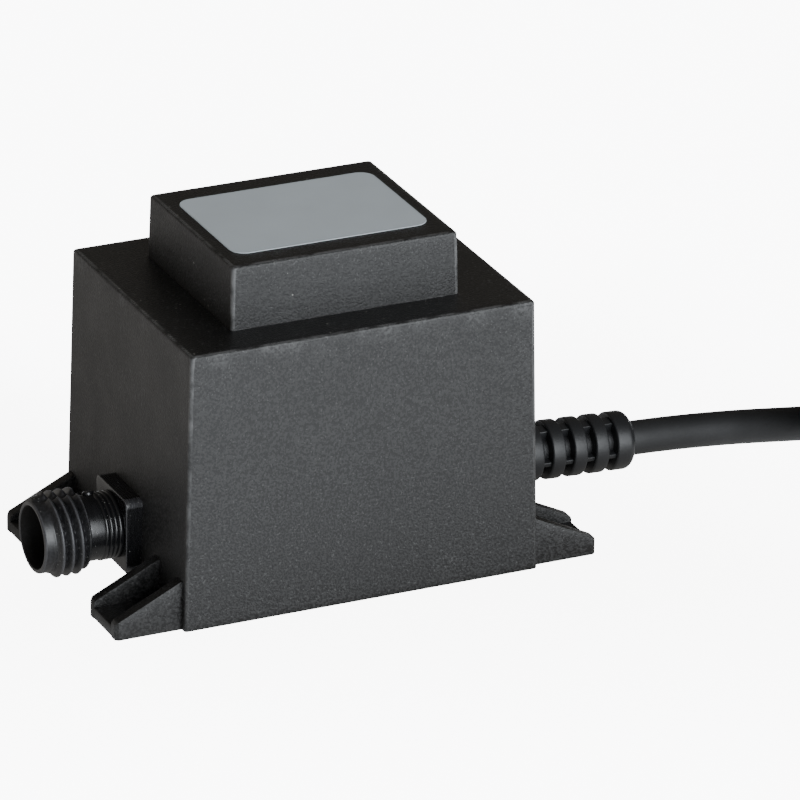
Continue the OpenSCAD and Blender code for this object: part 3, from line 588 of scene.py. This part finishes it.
def coil_radius(t):
    half = math.floor(t / LAYER_TURNS)
    rest = t - half * LAYER_TURNS
    return COIL_OUT - TURN_STEP * (rest if half % 2 == 0 else LAYER_TURNS - rest)


def coil_point(t):
    climbs = sum(min(1.0, max(0.0, (t - k * LAYER_TURNS) / 0.5 + 0.5)) for k in range(1, LAYERS))
    turn, r = math.radians(COIL_START - 360 * t), coil_radius(t)
    x, y = COIL_CENTRE[0] + r * math.cos(turn), COIL_CENTRE[1] + r * math.sin(turn)
    return Vector((x, y, COIL_FLOOR + LAYER_STEP * climbs))


def coil_heading(t):
    turn = math.radians(COIL_START - 360 * t)
    return Vector((math.sin(turn), -math.cos(turn), 0))


def through(points, before, after, step=2.5):
    """A smooth line through points, with neighbours given at its two ends."""
    line = [before, *points, after]
    made = []
    for i in range(1, len(line) - 2):
        a, b, c, d = line[i - 1:i + 3]
        count = max(2, round((c - b).length / step))
        for k in range(count):
            t = k / count
            made.append(0.5 * (
                2 * b + (c - a) * t + (2 * a - 5 * b + 4 * c - d) * t ** 2 + (3 * b - a - 3 * c + d) * t ** 3
            ))
    return made + [points[-1]]


def cord_line(exit_point, exit_heading):
    """The cord's centreline, from the strain relief to the plug."""
    end = COIL_TURNS * (1 - 1e-5)
    lead = [exit_point, *map(Vector, LEAD), coil_point(0) - 7 * coil_heading(0)]
    tail = [coil_point(end) + 7 * coil_heading(end), *map(Vector, TAIL), PLUG_REAR]
    line = through(lead, exit_point - 8 * exit_heading, coil_point(0))
    line += [coil_point(end * i / 700) for i in range(701)]
    line += through(tail, coil_point(end), PLUG_REAR + 8 * PLUG_AHEAD)
    kept = [line[0]]
    for point in line[1:]:
        if (point - kept[-1]).length > 0.8:
            kept.append(point)
    kept[-1] = line[-1]
    for _ in range(6):
        kept = [kept[0], kept[1]] + [
            kept[i] * 0.5 + (kept[i - 1] + kept[i + 1]) * 0.25 for i in range(2, len(kept) - 2)
        ] + kept[-2:]
    return kept


def tube(line, radius, sides):
    """Rings carried along a line without twist."""
    loops = []
    side = (line[1] - line[0]).normalized().cross(Vector((0, 0, 1))).normalized()
    for i, point in enumerate(line):
        now = (line[min(i + 1, len(line) - 1)] - line[max(i - 1, 0)]).normalized()
        side = (side - now * side.dot(now)).normalized()
        up = side.cross(now)
        loops.append([(point + radius * (x * side + y * up)) * MM for x, y in circle(1.0, sides)])
    return loft(loops)


# ---------------------------------------------------------------- operators

class TRANSFORMER_OT_camera(bpy.types.Operator):
    """Put the camera where the photograph was taken from"""
    bl_idname = "transformer.camera"
    bl_label = "Camera"

    def execute(self, context):
        turn, rise, roll = (math.radians(a) for a in (CAMERA_TURN, CAMERA_RISE, CAMERA_ROLL))
        back = Vector((-math.sin(turn) * math.cos(rise), -math.cos(turn) * math.cos(rise), math.sin(rise)))
        level = Vector((math.cos(turn), -math.sin(turn), 0))
        right = level * math.cos(roll) + back.cross(level) * math.sin(roll)
        facing = Matrix((right, back.cross(right), back)).transposed().to_4x4()
        data = bpy.data.cameras.new("camera")
        data.sensor_width, data.lens = CAMERA_SENSOR, CAMERA_LENS
        data.clip_start, data.clip_end = 0.05, 30.0
        camera = bpy.data.objects.new("camera", data)
        context.scene.collection.objects.link(camera)
        camera.matrix_world = Matrix.Translation(Vector(CAMERA_AT) * MM) @ facing
        context.scene.camera = camera
        return {"FINISHED"}


class TRANSFORMER_OT_cord(bpy.types.Operator):
    """Lay the mains cord from the strain relief to the plug, put away in a coil"""
    bl_idname = "transformer.cord"
    bl_label = "Mains cord"

    def execute(self, context):
        place = relief_place()
        exit_point = (place @ Vector((0, 0, RELIEF_LENGTH * MM))) / MM
        exit_heading = (place.to_3x3() @ Vector((0, 0, 1))).normalized()
        line = cord_line(exit_point, exit_heading)
        rubber = soft_rubber("cord_rubber", colours().rubber, 0.62, 0.45)
        cord = piece("mains_cord", tube(line, sizes().cord_diameter / MM / 2, 20), rubber, 60)
        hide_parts("cord_lead", "cord_coil", "cord_tail")
        context.scene["cord_path"] = json.dumps([list(p * MM) for p in line])
        context.scene["cord_length"] = sum((b - a).length for a, b in zip(line, line[1:])) * MM
        dress("cord_sheath_end", rubber)
        return {"FINISHED"}


class TRANSFORMER_OT_ties(bpy.types.Operator):
    """Finish the two ties round the coil's turns"""
    bl_idname = "transformer.ties"
    bl_label = "Cord ties"

    def execute(self, context):
        dress("cord_ties", smooth_plastic("tie_plastic", (0.02, 0.02, 0.022), 0.42, 4.0, 0.03))
        return {"FINISHED"}


class TRANSFORMER_OT_plug(bpy.types.Operator):
    """Mould the mains plug and its pins"""
    bl_idname = "transformer.plug"
    bl_label = "Mains plug"

    # Along the plug, half its width, half its thickness, and how square it is.
    sections = (
        (15.6, 5.2, 5.2, 2.0), (15.8, 6.6, 5.9, 2.1), (17.0, 7.3, 6.2, 2.2), (20.0, 8.4, 7.0, 2.3),
        (24.0, 10.6, 8.5, 2.4), (29.0, 13.8, 10.5, 2.6), (33.0, 16.2, 12.0, 2.8), (36.5, 17.6, 12.8, 3.0),
        (40.0, 17.9, 12.95, 3.2), (46.0, 17.9, 12.95, 3.3), (52.6, 17.9, 12.95, 3.4), (54.2, 17.5, 12.6, 3.4),
        (55.0, 16.6, 11.7, 3.4),
    )

    def execute(self, context):
        across = Vector((-PLUG_AHEAD.y, PLUG_AHEAD.x, 0))
        facing = Matrix((across, Vector((0, 0, 1)), PLUG_AHEAD)).transposed().to_4x4()
        place = Matrix.Translation(PLUG_REAR * MM) @ facing
        loops, wear_and_highlight_rows = [], []
        for now, then in zip(self.sections, self.sections[1:]):
            for k in range(4):
                mixed = [a + (b - a) * k / 4 for a, b in zip(now, then)]
                loops.append(self.outline(place, *mixed))
                wear_and_highlight_rows.append([0.6 if mixed[0] > 52 else 0.0] * 64)
        loops.append(self.outline(place, *self.sections[-1]))
        wear_and_highlight_rows.append([1.0] * 64)
        parts = [loft(loops, wear_and_highlight_rows)]
        for i in range(5):
            shape, rub_and_highlight = rounded_disc(1.0, 5.1 + 0.32 * i, 3.2 * i + 0.05, 3.2 * i + 1.9, 0.6)
            parts.append(turned(shape, place, 64, rub_and_highlight, True))
        parts.append(turned([(1.0, 0.2), (4.4, 0.2), (4.7, 16.2), (1.0, 16.2)], place, 64, None, True))
        body = piece("plug_moulding", joined(parts), soft_rubber("plug_rubber", colours().plug, 0.42, 0.45, 0.02))
        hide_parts("plug_body")
        prongs = piece("plug_prongs", self.pins(place), plated_metal("plug_pin_metal", (0.72, 0.7, 0.66), 0.22))
        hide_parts("plug_pins")
        path = json.loads(context.scene["cord_path"])
        return {"FINISHED"}

    @staticmethod
    def outline(place, along, half_w, half_t, power):
        loop = []
        for c, s in circle(1.0, 64):
            x = half_w * math.copysign(abs(c) ** (2 / power), c)
            y = half_t * math.copysign(abs(s) ** (2 / power), s)
            loop.append(place @ (Vector((x, y, along)) * MM))
        return loop

    @staticmethod
    def pins(place):
        """Two round pins with blunt ends, from inside the plug."""
        radius, inside, bare, nose, apart = 2.4, 46.0, 70.6, 3.4, 19.0
        shape = [(0.0, inside), (radius, inside), (radius, bare)]
        for a in (math.radians(7.5 * k) for k in range(1, 12)):
            shape.append((radius * math.cos(a) ** 0.8, bare + nose * math.sin(a)))
        shape.append((0.0, bare + nose))
        sides = (-apart / 2 * MM, apart / 2 * MM)
        return joined([turned(shape, place @ Matrix.Translation((side, 0, 0)), 48) for side in sides])


class TRANSFORMER_OT_housing(bpy.types.Operator):
    """Mould the housing with its raised block and four feet"""
    bl_idname = "transformer.housing"
    bl_label = "Housing"

    def execute(self, context):
        s = sizes()
        height, top, edge, wall = s.body_height, s.total_height, s.edge_radius, s.wall
        margin, rim = 1.6 * MM, 0.25 * MM
        inner = [(height - wall, wall + 0.2 * MM, 0.0), (1.4 * MM, wall, 0.0), (rim, wall, 0.4), (0.0, wall - rim, 0.8)]
        outer = [(0.0, rim, 0.8), (rim * 0.3, rim * 0.3, 0.9), (rim, 0.0, 0.6)]
        parts = [
            leaning_shell(
                s.body_width, s.body_depth, s.end_lean, s.face_lean, 0.0, height, (0.0, height), edge, margin,
                inner + outer,
            ),
            leaning_shell(
                s.block_width, s.block_depth, s.block_lean, s.block_lean, height - margin, top, (height, top), edge,
                margin, [(height - 0.6 * MM, 0.0, 0.0)],
            ),
        ]
        for sx in (-1, 1):
            for sy in (-1, 1):
                parts += self.foot(s, sx, sy)
        grain = grained_plastic("housing_plastic", colours().housing, height / MM)
        shell = piece("housing_moulding", joined(parts), grain, 50)
        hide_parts("housing")
        return {"FINISHED"}

    @staticmethod
    def foot(s, sx, sy):
        """Floor with a screw hole between two sloping ribs, at one corner."""
        long, wide, rib, floor = s.foot_length, s.foot_width, s.rib_thickness, s.foot_floor
        root, cut, tip, rim, soft = -s.wall / 2, 0.6 * MM, 1.3 * MM, 0.2 * MM, 0.38 * MM
        place = Matrix.Translation((sx * s.body_width / 2, sy * (s.body_depth / 2 - s.foot_inset - wide), 0))
        place = place @ Matrix.Diagonal((sx, sy, 1, 1))
        stand = place @ Matrix(((1, 0, 0), (0, 0, 1), (0, 1, 0))).to_4x4()
        slope = arc(long - tip, s.rib_tip - tip, tip, 0, 65, 6)
        profile = [(root, 0.0), (long, 0.0), *slope, (0.0, s.rib_height), (root, s.rib_height)]
        parts = [
            solid_prism(profile, 0.0, rib, stand, soft, [((long, 0, cut), (1, 0, -1))]),
            solid_prism(profile, wide - rib, wide, stand, soft, [((long, 0, wide - cut), (1, 0, 1))]),
        ]
        low, high, front = rib / 2, wide - rib / 2, long - 0.02 * MM
        hole = Vector((s.hole_out, wide / 2))
        corners = [math.atan2(y - hole.y, x - hole.x) % (2 * math.pi) for x in (root, front) for y in (low, high)]
        angles = sorted({round(a, 6) for a in (*corners, *(math.radians(5 * k) for k in range(72)))})

        def edge(inset, z):
            """The floor's four sides, seen from the hole."""
            loop = []
            for c, t in ((math.cos(a), math.sin(a)) for a in angles):
                spans = []
                if abs(c) > 1e-9:
                    spans.append(((front - inset - hole.x) if c > 0 else (root - hole.x)) / c)
                if abs(t) > 1e-9:
                    spans.append(((high - hole.y) if t > 0 else (low - hole.y)) / t)
                loop.append((hole.x + min(spans) * c, hole.y + min(spans) * t, z))
            return loop

        def ring(r, z):
            return [(hole.x + r * math.cos(a), hole.y + r * math.sin(a), z) for a in angles]

        near = s.hole + 1.2 * MM
        rows = [
            (edge(rim, 0.0), 0.6), (edge(0.0, rim), 0.8), (edge(0.0, floor - rim), 0.8), (edge(rim, floor), 0.8),
            (ring(near, floor), 0.0), (ring(s.hole + rim, floor), 0.9), (ring(s.hole, floor - rim), 0.9),
            (ring(s.hole, rim), 0.9), (ring(s.hole + rim, 0.0), 0.9), (ring(near, 0.0), 0.0), (edge(rim, 0.0), 0.6),
        ]
        loops = [[place @ Vector(p) for p in loop] for loop, _ in rows]
        return [*parts, loft(loops, [[rub_and_highlight] * len(angles) for _, rub_and_highlight in rows], False)]


class TRANSFORMER_OT_label(bpy.types.Operator):
    """Stick the bare label on the raised block"""
    bl_idname = "transformer.label"
    bl_label = "Label"

    def execute(self, context):
        low, high = Vector(LABEL_LOW), Vector(LABEL_HIGH)
        width, depth, middle = high.x - low.x, high.y - low.y, (low + high) / 2
        radius, edge = 3.2 * MM, 0.04 * MM
        loops, wear_and_highlight_rows = [], []
        for z, inset in ((low.z + 0.01 * MM, 0.0), (high.z - edge, 0.0), (high.z, edge)):
            loop = round_rect(width - 2 * inset, depth - 2 * inset, radius - inset, radius * 1.2, 12)
            loops.append([(x + middle.x, y + middle.y, z) for x, y, _ in loop])
            wear_and_highlight_rows.append([1.0 if inset else 0.6] * len(loop))
        finish = silver_film("label_film", colours().label, width, depth)
        film = piece("label_film", loft(loops, wear_and_highlight_rows), finish, 40)
        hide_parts("rating_label")
        return {"FINISHED"}


class TRANSFORMER_OT_socket(bpy.types.Operator):
    """Turn the threaded output socket and its flange"""
    bl_idname = "transformer.socket"
    bl_label = "Output socket"

    def execute(self, context):
        place = socket_place()
        gloss = socket_gloss("socket_plastic", colours().socket)
        plate = piece("socket_flange", self.flange(place), gloss, 50)
        barrel = piece("socket_barrel", joined([self.neck(place), self.thread(place), self.nub(place)]), gloss, 60)
        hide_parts("output_socket")
        # The bore is lined with a dark, dull sleeve: painted shade inside the socket's mouth.
        lining = turned([(6.2, 11.2), (6.4, 11.2), (6.4, 19.75), (6.28, 19.75), (6.2, 19.65)], place, 144, None, True)
        bore_shade_finish = dull_insulation("bore_shade_lining", (0.006, 0.0055, 0.005), 0.6, Specular_IOR_Level=0.25)
        bore = piece("socket_bore", lining, bore_shade_finish, 50)
        dress("contact_carrier", dull_insulation("carrier_plastic", (0.02, 0.02, 0.02), 0.5))
        dress("output_contacts", plated_metal("contact_metal", (0.72, 0.55, 0.28), 0.3))
        dress("contact_sleeves", dull_insulation("sleeve_plastic", (0.015, 0.015, 0.015), 0.5))
        return {"FINISHED"}

    @staticmethod
    def flange(place):
        wide, thick, corner, rim, margin = 15.3, 3.3, 1.4, 0.22, 0.7
        rows = [(0.0, -0.8, 0.0), (0.0, thick - rim - 0.6, 0.0), (0.0, thick - rim, 0.5)]
        rows += [(inset, h, 1.0) for inset, h in arc(rim, thick - rim, rim, 180, 90, 4)[1:]]
        rows.append((rim + margin, thick, 0.0))
        loops, wear_and_highlight_rows = [], []
        for inset, h, rub_and_highlight in rows:
            loop = round_rect(wide - 2 * inset, wide - 2 * inset, corner, corner + margin)
            loops.append([place @ (Vector((x, y, h)) * MM) for x, y, _ in loop])
            wear_and_highlight_rows.append([max(rub_and_highlight, w if inset <= rim * 1.001 else 0.0) for _, _, w in loop])
        return loft(loops, wear_and_highlight_rows)

    @staticmethod
    def neck(place):
        """Round neck with four soft rings."""
        radius, ring, pitch = 6.5, 0.24, 0.95
        shape, rub_and_highlight = [(3.0, 3.0), (radius, 3.0), (radius, 3.28)], [0.0, 0.0, 0.0]
        for i in range(4):
            for turn in (math.pi * k / 8 for k in range(9)):
                shape.append((radius + ring * math.sin(turn), 3.74 + pitch * i - 0.44 * math.cos(turn)))
                rub_and_highlight.append(0.6 * math.sin(turn))
            shape.append((radius, 4.2 + pitch * i))
            rub_and_highlight.append(0.0)
        shape += [(radius, 8.4), (radius, 10.6), (3.0, 10.6)]
        return turned(shape, place, 96, rub_and_highlight + [0.0, 0.0, 0.0])

    @staticmethod
    def thread(place):
        """Barrel from the thread's start to the mouth, and back down the bore. A mould seam parts the crests."""
        sides, pitch, start, stop, end, rows = 144, 2.0, 10.2, 17.9, 19.9, 100
        barrel, root, deep, seam, tip, corner = 7.2, 7.3, 1.2, 10.0, 0.14, 0.5

        def lug(h, k):
            """A soft key on the lip, 19 degrees from the top."""
            along = max(0.0, 1 - ((h - 18.2) / 1.3) ** 2)
            around = max(0.0, 1 - ((360 * k / sides - 19) / 17) ** 2)
            return 0.75 * math.sqrt(along * around)

        rings, wear_and_highlight_rows = [[(5.0, start)] * sides], [[0.0] * sides]
        for h in (start + (stop - start) * i / rows for i in range(rows + 1)):
            fade = min(1.0, max(0.0, (h - start) / pitch * 3)) * min(1.0, max(0.0, (stop - h) / pitch * 2))
            ring, rub_and_highlight = [], []
            for k in range(sides):
                part = min(1.0, 360 * min(k, sides - k) / sides / seam)
                part = part * part * (3 - 2 * part)
                off = abs((h / pitch - k / sides) % 1.0 - 0.5)
                off = off if off > tip else off * off / (2 * tip) + tip / 2
                ridge = (1 - 2 * off) / (1 - tip) * part
                ring.append((barrel + lug(h, k) + fade * (root - barrel + deep * ridge), h))
                rub_and_highlight.append(max(ridge * fade, lug(h, k)))
            rings.append(ring)
            wear_and_highlight_rows.append(rub_and_highlight)
        lip = [(barrel, stop + 0.15 * k) for k in range(1, 9)]
        lip += arc(barrel - corner, end - corner, corner, 0, 90, 6)
        lip += [(6.5, end), (6.36, end - 0.06), (6.3, end - 0.22), (6.3, 15.0), (6.3, 11.25), (5.05, 11.2)]
        for r, h in lip:
            rings.append([(r + (lug(h, k) if r > 7 else 0.0), h) for k in range(sides)])
            wear_and_highlight_rows.append([0.9 if h > end - 0.4 else lug(h, k) for k in range(sides)])
        unit = circle(1.0, sides)
        points = [[
            place @ (Vector((r * x, r * y, h)) * MM) for (x, y), (r, h) in zip(unit, ring)
        ] for ring in rings]
        return loft(points, wear_and_highlight_rows, False)

    @staticmethod
    def nub(place):
        """Locating nub on top of the neck."""
        at = place @ Matrix.Translation((0, 0, 7.35 * MM)) @ Matrix.Rotation(math.radians(17), 4, "Z")
        at = at @ Matrix.Rotation(math.radians(90), 4, "Y") @ Matrix.Diagonal((1.35, 1.1, 1.0, 1.0))
        shape = [(0.0, 5.0), (0.9, 5.0), *arc(0.6, 6.8, 0.3, 0, 90, 5), (0.0, 7.1)]
        return turned(shape, at, 32, [0.0] * 3 + [0.8] * 6)


class TRANSFORMER_OT_strain_relief(bpy.types.Operator):
    """Mould the ribbed strain relief of the mains cord"""
    bl_idname = "transformer.strain_relief"
    bl_label = "Strain relief"

    def execute(self, context):
        place = relief_place()
        tip, pitch, rib, slots, soft = 4.3, 4.8, 3.0, 5, 0.45
        gap, low, high = pitch - rib, RELIEF_LENGTH - tip, RELIEF_LENGTH
        collar = low - slots * pitch - gap
        shape = [
            (1.0, -0.8), (6.85, -0.8), (6.85, 0.3), (6.8, 0.6), (6.15, collar - 0.5), (6.02, collar - 0.15),
            (5.7, collar), (1.0, collar),
        ]
        parts = [turned(shape, place, 96, [0.0, 0.0, 0.0, 0.0, 0.6, 0.9, 0.6, 0.0], True)]
        for i in range(slots):
            at = collar + gap + i * pitch
            shape, rub_and_highlight = rounded_disc(1.0, (12.1 - 0.2 * at / RELIEF_LENGTH) / 2, at, at + rib, soft)
            parts.append(turned(shape, place, 96, rub_and_highlight, True))
        outer, nose = 11.9 / 2, 1.5
        shape = [
            (1.0, low), *arc(outer - soft, low + soft, soft, -90, 0, 4),
            *arc(outer - nose, high - nose, nose, 0, 90, 9),
            (3.9, high), (3.62, high - 0.2), (3.55, high - 1.0), (1.0, high - 1.0),
        ]
        parts.append(turned(shape, place, 96, [0.0] + [0.9] * 5 + [0.5] * 10 + [0.0, 0.3, 0.0, 0.0], True))
        core = [(1.0, 0.0), (3.7, 0.0), (3.7, high - 1.0), (1.0, high - 1.0)]
        parts.append(turned(core, place, 96, None, True))
        inner, reach = 3.0 * MM, 5.25 * MM
        for quarter, half in enumerate((1.2 * MM, 0.5 * MM, 1.2 * MM, 0.5 * MM)):
            at = place @ Matrix.Rotation(math.radians(90 * quarter + 13), 4, "Z")
            web = [(inner, -half), (reach, -half), (reach, half), (inner, half)]
            parts.append(solid_prism(web, (collar - 0.5) * MM, (low + 0.5) * MM, at, 0.2 * MM))
        boot = piece("relief_moulding", joined(parts), soft_rubber("relief_rubber", colours().rubber, 0.41, 0.4), 50)
        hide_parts("strain_relief")
        return {"FINISHED"}


class TRANSFORMER_OT_inside(bpy.types.Operator):
    """Finish the filling, the core, the coil and the wires inside the housing"""
    bl_idname = "transformer.inside"
    bl_label = "Inside"

    def execute(self, context):
        dress("potting_compound", cast_resin("potting_resin", colours().resin))
        dress("bobbin", dull_insulation("bobbin_plastic", (0.72, 0.69, 0.6), 0.5))
        dress("primary_winding", wound_wire("thin_copper_wire", (0.62, 0.25, 0.1), 0.3))
        dress("secondary_winding", wound_wire("thick_copper_wire", (0.72, 0.33, 0.14), 1.2))
        dress("thermal_fuse", dull_insulation("fuse_ceramic", (0.75, 0.72, 0.62), 0.4))
        dress("fuse_sleeve", bpy.data.materials["sleeve_plastic"])
        for finish, *nodes in (
            (rolled_sheets("core_steel", (0.5, 0.5, 0.52)), "core_e_sheets", "core_i_sheets"),
            (glossy_tape("yellow_tape", (0.75, 0.55, 0.08)), "primary_tape", "secondary_tape"),
            (plated_metal("tinned_pins", (0.75, 0.75, 0.74), 0.32), "solder_pins", "crimp_splice", "fuse_leads"),
        ):
            for node in nodes:
                dress(node, finish)
        for node, name, base in (
            ("mains_core_brown", "brown_insulation", (0.16, 0.07, 0.03)),
            ("mains_core_blue", "blue_insulation", (0.02, 0.09, 0.42)),
            ("output_lead_red", "red_insulation", (0.45, 0.02, 0.02)),
            ("output_lead_black", "black_insulation", (0.02, 0.02, 0.02)),
        ):
            dress(node, dull_insulation(name, base, 0.35))
        return {"FINISHED"}


class TRANSFORMER_OT_stage(bpy.types.Operator):
    """Set the pale floor and the soft studio lights"""
    bl_idname = "transformer.stage"
    bl_label = "Stage"

    def execute(self, context):
        pale = (*colours().floor, 1.0)
        paint = Paint("studio_floor", colours().floor, 0.9, Emission_Strength=FLOOR_GLOW)
        paint.set("Emission Color", pale)
        paint.set("Base Color", paint.mix(paint.noise(300.0), paint.tone(0.97), pale))
        floor = self.sheet(context, "floor", 6.0, -0.05 * MM, paint.material)
        floor.visible_diffuse = floor.visible_glossy = False
        card = self.sheet(context, "card", 1.5, -0.03 * MM, self.card_tone())
        card.visible_camera = False
        self.surroundings(context)
        self.panel(context, "key_softbox", 12, (0.02, 1.25), 1.4, 1.3, 9.0, (0.92, 0.96, 1.0))
        self.panel(context, "low_back_light", 212, (0.02, 0.5), 1.5, 0.9, 0.65, (1.0, 0.97, 0.93))
        return {"FINISHED"}

    @staticmethod
    def card_tone():
        """Light that a white table gives back: dim near the part, brighter at its sides and in front."""
        paint = Paint("card_tone", (0.0, 0.0, 0.0), 1.0, Emission_Strength=1.0, Specular_IOR_Level=0.0)
        x, y = paint.axis("X"), paint.axis("Y")
        front = (-0.3 * x - 0.95 * y).step(4.0, 122.0)
        back = y.step(30.0, 130.0) * x.step(-36.0, -10.0)
        front = front.most(back).most(x.step(60.0, 150.0))
        side = abs(x).step(35.0, 95.0)
        paint.set("Emission Color", paint.mix(front, paint.mix(side, NEAR_TONE, SIDE_TONE), FRONT_TONE))
        return paint.material

    @staticmethod
    def sheet(context, name, half, height, material):
        mesh = bpy.data.meshes.new(name)
        corners = [(x * half, y * half, height) for x, y in ((-1, -1), (1, -1), (1, 1), (-1, 1))]
        mesh.from_pydata(corners, [], [(0, 1, 2, 3)])
        mesh.materials.append(material)
        thing = bpy.data.objects.new(name, mesh)
        context.scene.collection.objects.link(thing)
        return thing

    @staticmethod
    def surroundings(context):
        """A dim room over the horizon and grey below it, white where the camera looks past the floor."""
        world = bpy.data.worlds.new("studio")
        context.scene.world = world
        nodes = Nodes(world)
        shader = nodes.tree.nodes["Background"]
        place = nodes.node("ShaderNodeTexCoord", output="Generated")
        x, y, z = (nodes.part(place, axis) for axis in "XYZ")
        below = nodes.mix((0.26 * x - 0.97 * y).step(0.2, 0.95), SIDE_TONE, FRONT_TONE)
        shade = nodes.mix(z.step(-0.12, 0.0), below, ROOM_TONE)
        seen = nodes.node("ShaderNodeLightPath", output="Is Camera Ray")
        nodes.join(shader.inputs["Color"], nodes.mix(seen, shade, CAMERA_WHITE))
        shader.inputs["Strength"].default_value = 1.0

    @staticmethod
    def panel(context, name, turn, reach, away, wide, radiance, tint):
        """An upright softbox: its turn to the right of the front, its foot and head heights, its brightness."""
        data = bpy.data.lights.new(name, "AREA")
        high = reach[1] - reach[0]
        data.shape, data.size, data.size_y = "RECTANGLE", wide, high
        data.energy, data.color = math.pi * wide * high * radiance, tint
        lamp = bpy.data.objects.new(name, data)
        context.scene.collection.objects.link(lamp)
        lamp.visible_camera = False
        angle = math.radians(turn)
        lamp.location = (away * math.sin(angle), -away * math.cos(angle), sum(reach) / 2)
        lamp.rotation_euler = (math.radians(90), 0, angle)


class TRANSFORMER_PT_panel(bpy.types.Panel):
    """Lists the pieces and their sizes"""
    bl_label = "Transformer"
    bl_space_type = "VIEW_3D"
    bl_region_type = "UI"
    bl_category = "Transformer"

    def draw(self, context):
        column = self.layout.column(align=True)
        for operator in OPERATORS:
            column.operator(operator.bl_idname)
        for group in (context.scene.transformer_sizes, context.scene.transformer_colours):
            column = self.layout.column(align=True)
            for name in group.__annotations__:
                column.prop(group, name)


OPERATORS = (
    TRANSFORMER_OT_camera, TRANSFORMER_OT_cord, TRANSFORMER_OT_ties, TRANSFORMER_OT_plug, TRANSFORMER_OT_housing,
    TRANSFORMER_OT_label, TRANSFORMER_OT_socket, TRANSFORMER_OT_strain_relief, TRANSFORMER_OT_inside,
    TRANSFORMER_OT_stage,
)
CLASSES = (TransformerSizes, TransformerColours, *OPERATORS, TRANSFORMER_PT_panel)


def register():
    for item in CLASSES:
        bpy.utils.register_class(item)
    bpy.types.Scene.transformer_sizes = bpy.props.PointerProperty(type=TransformerSizes)
    bpy.types.Scene.transformer_colours = bpy.props.PointerProperty(type=TransformerColours)


def unregister():
    del bpy.types.Scene.transformer_colours
    del bpy.types.Scene.transformer_sizes
    for item in reversed(CLASSES):
        bpy.utils.unregister_class(item)


def main():
    register()
    for operator in OPERATORS:
        getattr(bpy.ops.transformer, operator.bl_idname.split(".")[1])()


if __name__ == "__main__":
    main()
